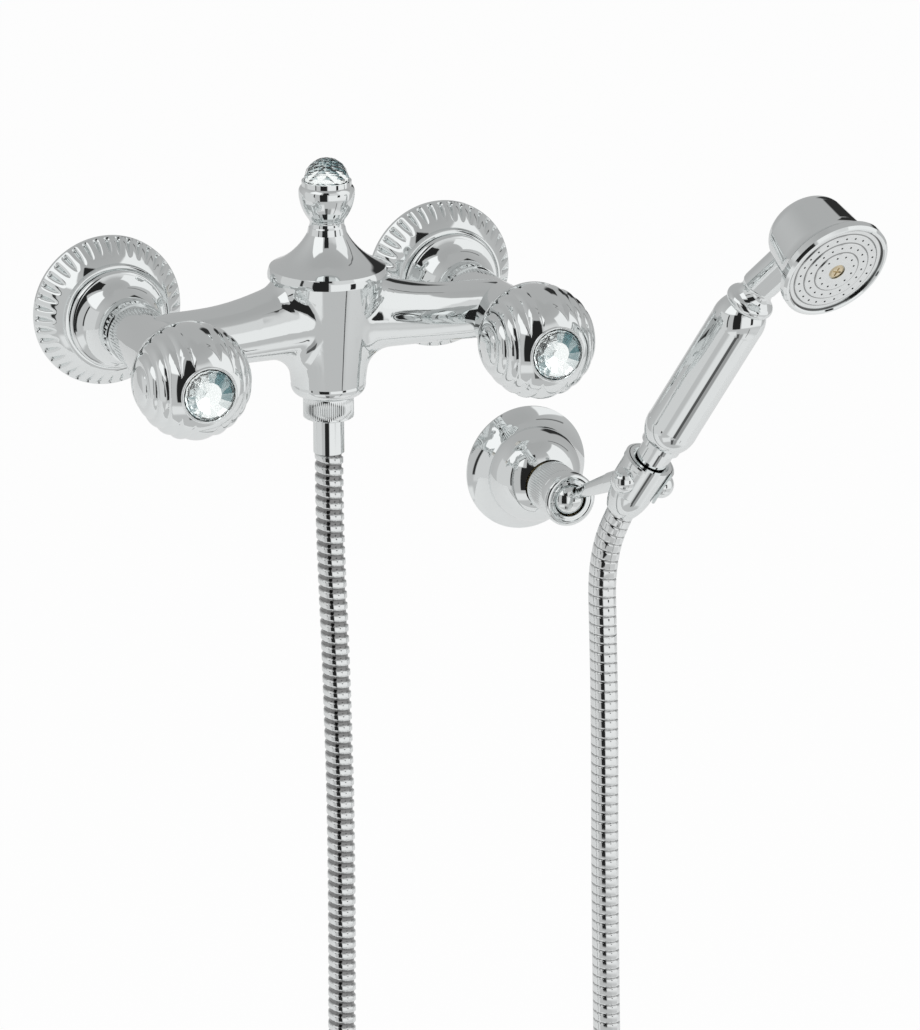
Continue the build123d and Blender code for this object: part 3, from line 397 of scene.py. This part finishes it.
def brushed_brass(name, colour):
    """Raw brass with fine turning marks."""
    material, shader, place = new_material(name, 1.0)
    grain = place.noise(scale=900.0, detail=3.0)
    feed(shader, "Base Color", grain.tint(colour, [brass_shade * part for part in colour]))
    feed(shader, "Roughness", grain.smooth(0.2, 0.8, 0.22, 0.38))
    return material


def black_rubber():
    """Moulded rubber with a fine grain."""
    material, shader, place = new_material("black_rubber", 0.0, rubber_colour)
    grain = place.noise(scale=1500.0, detail=2.0)
    feed(shader, "Roughness", grain.smooth(0.2, 0.8, 0.55, 0.75))
    surface_bump(shader, grain, strength=0.2, distance=0.0002)
    return material


def ground_ceramic():
    """White ceramic with a lapped face."""
    material, shader, place = new_material("ground_ceramic", 0.0, ceramic_colour)
    feed(shader, "Roughness", place.noise(scale=1200.0, detail=2.0).smooth(0.3, 0.7, 0.2, 0.32))
    return material


def crystal_glass():
    """Clear cut glass with polished facets."""
    material, shader, place = new_material("crystal_glass", 0.0, glass_colour)
    shader.inputs["Transmission Weight"].default_value = 1.0
    shader.inputs["IOR"].default_value = glass_index
    feed(shader, "Roughness", place.noise(scale=300.0, detail=2.0).smooth(0.4, 0.9, 0.0, 0.015))
    return material


def crystal_foil():
    """Silver foil on the back of a stone, bright and slightly crinkled, with a dark reflection painted on one
    side.
    """
    material, shader, place = new_material("crystal_foil", 0.9)
    painted_reflection = start(place.tree, "ShaderNodeAttribute", "Fac", attribute_name="painted_reflection")
    feed(shader, "Base Color", painted_reflection.tint(foil_colour, foil_painted_reflection_colour))
    crinkle = place.noise(scale=700.0, detail=3.0)
    feed(shader, "Roughness", crinkle.smooth(0.3, 0.7, 0.05, 0.16))
    surface_bump(shader, crinkle, strength=0.15, distance=0.0002)
    return material


def photograph_camera():
    """Camera at the photograph's angle, from its azimuth, elevation and distance."""
    back = Vector((
        math.sin(camera_azimuth) * math.cos(camera_elevation),
        -math.cos(camera_azimuth) * math.cos(camera_elevation),
        math.sin(camera_elevation),
    ))
    right = Vector((math.cos(camera_azimuth), math.sin(camera_azimuth), 0.0))
    up = back.cross(right)
    data = bpy.data.cameras.new("camera")
    data.sensor_fit = "HORIZONTAL"
    data.sensor_width = sensor_width
    data.lens = focal_pixels / image_width * sensor_width
    data.clip_end = camera_reach
    camera = bpy.data.objects.new("camera", data)
    turn = Matrix((right, up, back)).transposed().to_4x4()
    camera.matrix_world = Matrix.Translation(camera_target + back * camera_distance) @ turn
    scene.collection.objects.link(camera)
    scene.camera = camera


def between(value, low, high, edge):
    """One where a value lies between two limits, easing to nought over an edge on each side."""
    middle = (low + high) / 2
    half = (high - low) / 2
    return (value - middle).absolute().smooth(half - edge, half + edge, 1.0, 0.0)


def seen_plainly(tree):
    """One where the background itself is seen, straight from the camera or through glass."""
    straight = start(tree, "ShaderNodeLightPath", "Is Camera Ray")
    return straight + start(tree, "ShaderNodeLightPath", "Is Transmission Ray")


def studio_world():
    """Grey tent with soft boxes, and the black gaps between them that polished metal shows."""
    world = bpy.data.worlds.new("studio")
    world.use_nodes = True
    scene.world = world
    tree = world.node_tree
    direction = start(tree, "ShaderNodeTexCoord", "Generated")
    east, north, rise = (direction.node("ShaderNodeSeparateXYZ", {0: direction}, axis) for axis in range(3))
    degrees = math.degrees(1.0)
    bearing = east.maths("ARCTAN2", 0.0 - north) * degrees - math.degrees(camera_azimuth)
    height = rise.maths("ARCSINE") * degrees
    light = height.smooth(tent_low, tent_high, tent_low_level, tent_high_level)
    light = bearing.absolute().smooth(tent_side, tent_behind).mix(light, tent_behind_level)
    for level, left, right, bottom, top, edge in studio_panels:
        panel = between(bearing, left, right, edge) * between(height, bottom, top, edge)
        light = panel.mix(light, level)
    background = tree.nodes["Background"]
    background.inputs["Color"].default_value = (1.0, 1.0, 1.0, 1.0)
    feed(background, "Strength", seen_plainly(tree).maths("MINIMUM", 1.0).mix(light, 1.0))


def pale_floor():
    """Floor under the set that shows white and keeps a soft shadow."""
    material, shader, place = new_material("pale_floor", 0.0, floor_colour)
    tree = place.tree
    feed(shader, "Roughness", place.noise(scale=60.0, detail=2.0).smooth(0.3, 0.7, 0.8, 0.9))
    mirrored = start(tree, "ShaderNodeLightPath", "Is Glossy Ray")
    share = (seen_plainly(tree) * floor_seen + mirrored * floor_mirrored).maths("MINIMUM", 1.0)
    white = start(tree, "ShaderNodeEmission", 0)
    lit = Value(tree, shader.outputs[0])
    blend = share.node("ShaderNodeMixShader", {0: share, 1: lit, 2: white})
    feed(tree.nodes["Material Output"], "Surface", blend)
    mesh = bpy.data.meshes.new("floor")
    mesh.from_pydata([(*corner, floor_height) for corner in floor_corners], [], [(0, 1, 2, 3)])
    floor = new_piece("floor", mesh, material)


def soft_lamp(name, place, power):
    """Square lamp that lights the set but isn't mirrored in it."""
    data = bpy.data.lights.new(name, "AREA")
    data.size = lamp_size
    data.energy = power
    lamp = bpy.data.objects.new(name, data)
    lamp.location = place
    lamp.rotation_euler = (Vector(lamp_aim) - Vector(place)).to_track_quat("-Z", "Y").to_euler()
    lamp.visible_glossy = False
    scene.collection.objects.link(lamp)


def new_piece(name, mesh, *materials):
    """Links a mesh as a piece, with its materials."""
    for material in materials:
        mesh.materials.append(material)
    piece = bpy.data.objects.new(name, mesh)
    scene.collection.objects.link(piece)
    return piece


def axis_frame(origin, axis):
    """Matrix that stands +Z along an axis at a point."""
    turn = Vector((0.0, 0.0, 1.0)).rotation_difference(Vector(axis))
    return Matrix.Translation(Vector(origin)) @ turn.to_matrix().to_4x4()


class Geometry:
    """A node tree that makes geometry, with named inputs."""

    def __init__(self, name):
        self.tree = bpy.data.node_groups.new(name, "GeometryNodeTree")
        self.tree.interface.new_socket("Geometry", in_out="OUTPUT", socket_type="NodeSocketGeometry")
        self.inputs = self.tree.nodes.new("NodeGroupInput")
        self.outputs = self.tree.nodes.new("NodeGroupOutput")

    def input(self, name, kind):
        self.tree.interface.new_socket(name, in_out="INPUT", socket_type=kind)
        return Value(self.tree, self.inputs.outputs[name])

    def add(self, kind, inputs=(), output=0, **settings):
        return Value(self.tree, None).node(kind, inputs, output, **settings)

    def store(self, geometry, name, value):
        """Keeps a number on each point of the geometry, under a name."""
        inputs = {"Geometry": geometry, "Name": name, "Value": value}
        return self.add("GeometryNodeStoreNamedAttribute", inputs)

    def stored(self, name, **settings):
        return self.add("GeometryNodeInputNamedAttribute", {"Name": name}, **settings)

    def move(self, geometry, direction, distance):
        """Moves each point by its distance along its direction."""
        inputs = {0: direction, "Scale": distance}
        offset = self.add("ShaderNodeVectorMath", inputs, operation="SCALE")
        return self.add("GeometryNodeSetPosition", {"Geometry": geometry, "Offset": offset})

    def finish(self, geometry, material):
        real = self.add("GeometryNodeRealizeInstances", {0: geometry})
        coated = self.add("GeometryNodeSetMaterial", {"Geometry": real, "Material": material})
        self.tree.links.new(coated.socket, self.outputs.inputs[0])
        return self.tree


def ribbed_hose_tree():
    """Tube along part of a curve, with rounded ribs that wind round it as on a spiral hose."""
    shape = Geometry("ribbed_hose")
    line = shape.input("Geometry", "NodeSocketGeometry")
    first = shape.input("Start", "NodeSocketFloat")
    last = shape.input("End", "NodeSocketFloat")
    radius = shape.input("Radius", "NodeSocketFloat")
    pitch = shape.input("Pitch", "NodeSocketFloat")
    depth = shape.input("Depth", "NodeSocketFloat")
    groove = shape.input("Groove", "NodeSocketFloat")
    step = shape.input("Step", "NodeSocketFloat")
    sides = shape.input("Sides", "NodeSocketInt")
    material = shape.input("Material", "NodeSocketMaterial")
    marked = shape.store(line, "along", shape.add("GeometryNodeSplineParameter", output="Length"))
    trimmed = shape.add("GeometryNodeTrimCurve", {"Curve": marked, 4: first, 5: last}, mode="LENGTH")
    fine = shape.add("GeometryNodeResampleCurve", {"Curve": trimmed, "Length": step}, mode="LENGTH")
    ring = shape.add("GeometryNodeCurvePrimitiveCircle", {"Resolution": sides, "Radius": radius})
    profile = shape.store(ring, "around", shape.add("GeometryNodeSplineParameter", output="Factor"))
    swept = {"Curve": fine, "Profile Curve": profile, "Fill Caps": True}
    tube = shape.add("GeometryNodeCurveToMesh", swept)
    phase = (shape.stored("along") / pitch + shape.stored("around")).maths("FRACT")
    from_middle = (phase - 0.5).absolute() * 2.0
    crowned = from_middle * from_middle * rib_crown
    grooved = from_middle.smooth(groove, groove + groove_flank, 0.0, groove_bottom)
    sunk = (crowned + grooved) * depth * -1.0
    ribbed = shape.move(tube, shape.add("GeometryNodeInputNormal"), sunk)
    # painted shade: the groove's depth is kept so the colour can darken in its bottom
    painted_groove_shade = shape.store(ribbed, "groove", grooved)
    smooth = shape.add("GeometryNodeSetShadeSmooth", {"Geometry": painted_groove_shade, "Shade Smooth": True})
    return shape.finish(smooth, material)


def fluted_tree():
    """Cuts valleys side by side round a turned mesh, as deep as each of its points allows."""
    shape = Geometry("fluted")
    blank = shape.input("Geometry", "NodeSocketGeometry")
    count = shape.input("Count", "NodeSocketFloat")
    sharpness = shape.input("Sharpness", "NodeSocketFloat")
    material = shape.input("Material", "NodeSocketMaterial")
    phase = (shape.stored("angle") * count).maths("FRACT")
    from_crest = (phase - 0.5).absolute() * 2.0
    valley = from_crest.maths("POWER", sharpness) * shape.stored("cut") - shape.stored("spared")
    inward = shape.stored("inward", data_type="FLOAT_VECTOR")
    return shape.finish(shape.move(blank, inward, valley.maths("MAXIMUM", 0.0)), material)


def formed(name, tree, base, values):
    """Plain mesh that a geometry tree forms on an object."""
    modifier = base.modifiers.new("shape", "NODES")
    modifier.node_group = tree
    names = {item.name: item.identifier for item in tree.interface.items_tree if item.in_out == "INPUT"}
    for label, value in values.items():
        modifier[names[label]] = value
    bpy.context.view_layer.update()
    mesh = bpy.data.meshes.new_from_object(base.evaluated_get(bpy.context.evaluated_depsgraph_get()))
    base.modifiers.remove(modifier)
    mesh.name = name
    return new_piece(name, mesh)


def bowed(begin, end, bow, steps):
    """Points of a low arc after its start, bowed to the right of its direction."""
    run = Vector(end) - Vector(begin)
    side = Vector((run.y, -run.x)).normalized()
    points = []
    for step in range(1, steps + 1):
        share = step / steps
        points.append(tuple(Vector(begin) + run * share + side * (bow * 4 * share * (1 - share))))
    return points


def drawn(loop):
    """Points of a turned piece's loop, with its arcs drawn out."""
    points = []
    for radius, height, *arc in loop:
        points += bowed(points[-1], (radius, height), *arc) if arc else [(radius, height)]
    return points


def turned_blank(name, place, profile, sides, cut=None):
    """Closed mesh turned about an axis from a loop's points, marked with the depth of its flutes."""
    depths = [0.0] * len(profile)
    if cut:
        first, last, depth, run_in, run_out = cut
        for index in range(first, last + 1):
            share = (index - first) / (last - first)
            depths[index] = depth * min(1.0, share / run_in, (1.0 - share) / run_out)
    shape = bmesh.new()
    angle_layer = shape.verts.layers.float.new("angle")
    cut_layer = shape.verts.layers.float.new("cut")
    shape.verts.layers.float.new("spared")
    inward_layer = shape.verts.layers.float_vector.new("inward")
    rings = []
    for turn in range(sides):
        angle = math.tau * turn / sides
        out = Vector((math.cos(angle), math.sin(angle), 0.0))
        ring = []
        for index, (radius, height) in enumerate(profile):
            before = Vector(profile[index - 1])
            after = Vector(profile[(index + 1) % len(profile)])
            run = (after - before).normalized()
            vertex = shape.verts.new((out * radius + Vector((0.0, 0.0, height))) * millimetre)
            vertex[angle_layer] = turn / sides
            vertex[cut_layer] = depths[index] * millimetre
            vertex[inward_layer] = out * -run.y + Vector((0.0, 0.0, run.x))
            ring.append(vertex)
        rings.append(ring)
    for turn, ring in enumerate(rings):
        after = rings[(turn + 1) % sides]
        for index in range(len(profile)):
            following = (index + 1) % len(profile)
            shape.faces.new((ring[index], after[index], after[following], ring[following]))
    bmesh.ops.recalc_face_normals(shape, faces=shape.faces)
    turn_matrix = place.to_3x3()
    for vertex in shape.verts:
        vertex[inward_layer] = turn_matrix @ vertex[inward_layer]
    shape.transform(place)
    mesh = bpy.data.meshes.new(name)
    shape.to_mesh(mesh)
    shape.free()
    return new_piece(name, mesh)


def fluted_piece(name, tree, blank, count, sharpness, material, crease):
    """Fluted copy of a turned blank, smooth but for its edges."""
    piece = formed(name, tree, blank, {"Count": float(count), "Sharpness": sharpness, "Material": material})
    bpy.data.objects.remove(blank)
    smooth_but_creased(piece, crease)
    return piece


def smooth_but_creased(piece, crease):
    """Shades a piece smooth, but for edges that turn by more than an angle in degrees."""
    piece.data.polygons.foreach_set("use_smooth", [True] * len(piece.data.polygons))
    shape = bmesh.new()
    shape.from_mesh(piece.data)
    for edge in shape.edges:
        if len(edge.link_faces) == 2 and edge.calc_face_angle() > math.radians(crease):
            edge.smooth = False
    shape.to_mesh(piece.data)
    shape.free()


def rosettes(tree, material):
    """Both wall rosettes, with their ring of rounded gadroons."""
    for side, name in ((-1, "left"), (1, "right")):
        place = axis_frame((side * inlet_spacing / 2, 0.0, 0.0), (0.0, -1.0, 0.0))
        blank = turned_blank("rosette_blank_" + name, place, drawn(rosette_loop), rosette_sides,
                             rosette_cut)
        piece = fluted_piece("gadrooned_rosette_" + name, tree, blank, rosette_gadroons, rosette_sharpness,
                             material, rosette_crease)
        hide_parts("rosette_" + name)
        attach(piece, "root")


def groove_phase(away):
    """Where a point lies in the row of grooves: whole numbers in their middles, halves on crests."""
    turn = math.degrees(math.asin(min(1.0, abs(away.x) / knob_ball))) / knob_groove_angle
    if turn < 1.0:
        return 0.5 + turn / 2
    return min(turn, knob_grooves + 0.5)


def groove_share(away):
    """How much of the grooves' depth a point of the ball has, from none on the smooth front to all."""
    if away.y >= 0.0:
        return 1.0
    near, far = knob_smooth_front
    return min(1.0, max(0.0, (math.hypot(away.x, away.z) - near) / (far - near)))


def mark_grooves(blank, centre):
    """Marks grooves on upright planes across a ball, that run out round its smooth front."""
    depth = knob_groove_depth * millimetre
    marks = []
    for vertex in blank.data.vertices:
        away = (vertex.co - centre) / millimetre
        if abs(away.length - knob_ball) > knob_ball_tolerance:
            marks.append((0.5, 0.0, 0.0))
        else:
            marks.append((groove_phase(away), depth, depth * (1.0 - groove_share(away))))
    for label, values in zip(("angle", "cut", "spared"), zip(*marks)):
        blank.data.attributes[label].data.foreach_set("value", values)


def knobs(tree, material):
    """Both ball knobs: grooved flanks, a smooth front with a seat for the stone, a thin back rim."""
    low = math.asin(-knob_back / knob_ball)
    high = math.acos(knob_seat / knob_ball)
    angles = [low + (high - low) * step / knob_steps for step in range(knob_steps + 1)]
    ball = [(knob_ball * math.cos(angle), knob_ball * math.sin(angle)) for angle in angles]
    profile = drawn(knob_back_loop) + ball + drawn(knob_seat_loop)
    for side, name in ((-1, "left"), (1, "right")):
        centre = Vector((side * inlet_spacing / 2, -knob_reach * millimetre, 0.0))
        place = axis_frame(centre, (0.0, -1.0, 0.0))
        blank = turned_blank("knob_blank_" + name, place, profile, knob_sides)
        mark_grooves(blank, centre)
        piece = fluted_piece("ridged_knob_" + name, tree, blank, 1, knob_groove_sharpness, material,
                             knob_crease)
        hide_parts("knob_" + name)
        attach(piece, "knob_" + name + "_turning")


def fluted_nuts(tree, material):
    """The hose nut under the mixer and the clamp nut of the bracket, with their fine flutes."""
    place = axis_frame((0.0, -body_reach, hose_nut_low[2]), (0.0, 0.0, 1.0))
    sides = hose_nut_flutes * sides_per_flute
    blank = turned_blank("hose_nut_blank", place, drawn(hose_nut_loop), sides, hose_nut_cut)
    nut = fluted_piece("fluted_hose_nut", tree, blank, hose_nut_flutes, hose_nut_sharpness, material,
                       hose_nut_crease)
    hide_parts("hose_nut")
    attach(nut, "root")
    place = axis_frame(bracket_place, (0.0, -1.0, 0.0))
    sides = clamp_knurls * sides_per_flute
    blank = turned_blank("clamp_nut_blank", place, drawn(clamp_nut_loop), sides, clamp_cut)
    nut = fluted_piece("knurled_clamp_nut", tree, blank, clamp_knurls, clamp_sharpness, material,
                       clamp_crease)
    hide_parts("clamp_nut")
    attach(nut, "clamp")


def bracket_cover(material):
    """Domed cover of the bracket, with a smooth flange and a crease between them."""
    place = axis_frame(bracket_place, (0.0, -1.0, 0.0))
    cover = turned_blank("domed_bracket_cover", place, drawn(cover_loop), cover_sides)
    cover.data.materials.append(material)
    smooth_but_creased(cover, cover_crease)
    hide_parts("bracket_rosette")
    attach(cover, "root")


def stone_ring(shape, sides, radius, height, shift=0.0):
    """Ring of corners of a stone, turned on by a share of one facet."""
    ring = []
    for turn in range(sides):
        angle = math.tau * (turn + shift) / sides
        ring.append(shape.verts.new((radius * math.cos(angle), radius * math.sin(angle), height)))
    return ring


def cut_stone(name, place, tiers, sides, back_tiers, glass, foil):
    """Brilliant-cut stone: a table, rings of triangular facets, and a foiled back of shallow facets."""
    shape = bmesh.new()
    painted_reflection = shape.faces.layers.float.new("painted_reflection")
    chance = random.Random(stone_seed)
    rings = []
    for level, (radius, height) in enumerate(tiers):
        half_a_facet = 0.5 * (level % 2)
        rings.append(stone_ring(shape, sides, radius, height, half_a_facet))
    for level, (low, high) in enumerate(zip(rings, rings[1:])):
        for turn in range(sides):
            after = (turn + 1) % sides
            if level % 2 == 0:
                shape.faces.new((low[turn], low[after], high[turn]))
                shape.faces.new((low[after], high[after], high[turn]))
            else:
                shape.faces.new((low[turn], low[after], high[after]))
                shape.faces.new((low[turn], high[after], high[turn]))
    shape.faces.new(rings[-1])
    back = []
    above = rings[0]
    innermost = len(back_tiers) - 1
    for level, (radius, depth) in enumerate(back_tiers):
        below = stone_ring(shape, sides, radius, -depth)
        for turn in range(sides):
            after = (turn + 1) % sides
            # painted reflection: the back facets on one side, except the innermost ring, get a dark foil
            # colour that varies from facet to facet
            reflection_share = max(0.0, math.cos(math.tau * turn / sides - painted_reflection_turn))
            if level == innermost:
                reflection_share = 0.0
            pair = ((above[after], above[turn], below[turn]), (above[after], below[turn], below[after]))
            for corners in pair:
                facet = shape.faces.new(corners)
                facet[painted_reflection] = min(1.0, reflection_share**2 * chance.uniform(*painted_reflection_spread))
                back.append(facet)
        above = below
    back.append(shape.faces.new(list(reversed(above))))
    for face in back:
        face.material_index = 1
    bmesh.ops.recalc_face_normals(shape, faces=shape.faces)
    shape.transform(place)
    mesh = bpy.data.meshes.new(name)
    shape.to_mesh(mesh)
    shape.free()
    return new_piece(name, mesh, glass, foil)


def crystals(glass, foil):
    """The stones of the two knobs and of the finial."""
    for side, name in ((-1, "left"), (1, "right")):
        low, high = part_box("knob_crystal_" + name)
        place = axis_frame((side * inlet_spacing / 2, high[1] - knob_stone_girdle, 0.0), (0.0, -1.0, 0.0))
        stone = cut_stone("knob_stone_" + name, place, knob_stone_tiers, knob_stone_sides, knob_stone_back,
                          glass, foil)
        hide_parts("knob_crystal_" + name)
        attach(stone, "knob_" + name + "_turning")
    low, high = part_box("finial_crystal")
    place = axis_frame((0.0, -body_reach, low[2] + finial_stone_girdle), (0.0, 0.0, 1.0))
    stone = cut_stone("finial_stone", place, finial_stone_tiers, finial_stone_sides, finial_stone_back,
                      glass, foil)
    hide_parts("finial_crystal")
    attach(stone, "root")


def hose_curve():
    """The hose's own line, a smooth spline on its route."""
    data = bpy.data.curves.new("hose_line", "CURVE")
    data.dimensions = "3D"
    data.resolution_u = hose_line_steps
    spline = data.splines.new("NURBS")
    spline.points.add(len(hose_route_mm) - 1)
    for point, place in zip(spline.points, hose_route_mm):
        point.co = (*(Vector(place) * millimetre), 1.0)
    spline.order_u = 3
    spline.use_endpoint_u = True
    line = bpy.data.objects.new("hose_line", data)
    scene.collection.objects.link(line)
    return line


def line_points(line):
    """Points read along a curve object, with their distances from its start."""
    mesh = bpy.data.meshes.new_from_object(line)
    points = [vertex.co.copy() for vertex in mesh.vertices]
    bpy.data.meshes.remove(mesh)
    distances = [0.0]
    for before, after in zip(points, points[1:]):
        distances.append(distances[-1] + (after - before).length)
    return points, distances


def point_at(points, distances, distance):
    """Point of a line at a distance from its start."""
    for index in range(1, len(points)):
        if distances[index] >= distance:
            run = distances[index] - distances[index - 1]
            share = (distance - distances[index - 1]) / run if run else 0.0
            return points[index - 1].lerp(points[index], share)
    return points[-1]


def hose(material):
    """The ribbed hose in three stretches: the one from the mixer on the root body, the other two fixed where
    they lie.
    """
    line = hose_curve()
    points, distances = line_points(line)
    total = distances[-1]

    def at_height(height):
        """Distance along the rising half at which the hose passes a height."""
        return next(d for p, d in zip(points, distances) if d > total / 2 and p.z > height)

    tree = ribbed_hose_tree()
    lower = at_height(hose_rising_from)
    upper = at_height(hose_rising_to)
    stretches = (
        ("hose_from_mixer", 0.0, lower, mixer_rib_pitch, mixer_rib_groove, ("hose_mixer_leg", "hose_loop")),
        ("hose_rising", lower, upper, hand_rib_pitch, hand_rib_groove, ()),
        ("hose_to_hand_shower", upper, total, hand_rib_pitch, hand_rib_groove, ("hose_hand_leg",)),
    )
    made = []
    for name, first, last, pitch, groove, nodes in stretches:
        piece = formed(name, tree, line, {
            "Start": first,
            "End": last,
            "Radius": hose_radius,
            "Pitch": pitch,
            "Depth": hose_rib_depth,
            "Groove": groove,
            "Step": hose_step,
            "Sides": hose_sides,
            "Material": material,
        })
        path = [p for p, d in zip(points, distances) if first <= d <= last]
        path = [point_at(points, distances, first)] + path + [point_at(points, distances, last)]
        last - first
        if nodes:
            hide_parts(*nodes)
        made.append(piece)
    bpy.data.objects.remove(line)
    from_mixer, rising, to_hand = made
    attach(from_mixer, "root")
    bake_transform(rising)
    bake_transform(to_hand)


def dress_nodes(finishes, special):
    """Gives every node of the frame the finish of its slot, or a special one."""
    slots = {part["node"]: part["material_slot"] for part in frame["record"]["subparts"]}
    for name, node in frame["nodes"].items():
        for slot in node.material_slots:
            slot.material = special.get(name, finishes[slots[name]])


photograph_camera()
studio_world()
pale_floor()
for name, place, power in lamps:
    soft_lamp(name, place, power)
finishes = {
    "chrome": polished_plating("polished_chrome", chrome_colour, 0.02, 0.06),
    "hose_metal": hose_chrome(),
    "brass": brushed_brass("turned_brass", brass_colour),
    "crystal": crystal_glass(),
    "rubber": black_rubber(),
    "discs": ground_ceramic(),
}
nickel = polished_plating("nickel_plate", nickel_colour, 0.12, 0.22)
dress_nodes(finishes, {
    "inlet_union_left": nickel,
    "inlet_union_right": nickel,
    "spray_plate": satin_plate(),
    "plate_screw": brushed_brass("pale_brass", pale_brass_colour),
})
crystals(finishes["crystal"], crystal_foil())
flutes = fluted_tree()
rosettes(flutes, finishes["chrome"])
knobs(flutes, finishes["chrome"])
fluted_nuts(flutes, finishes["chrome"])
bracket_cover(finishes["chrome"])
hose(finishes["hose_metal"])
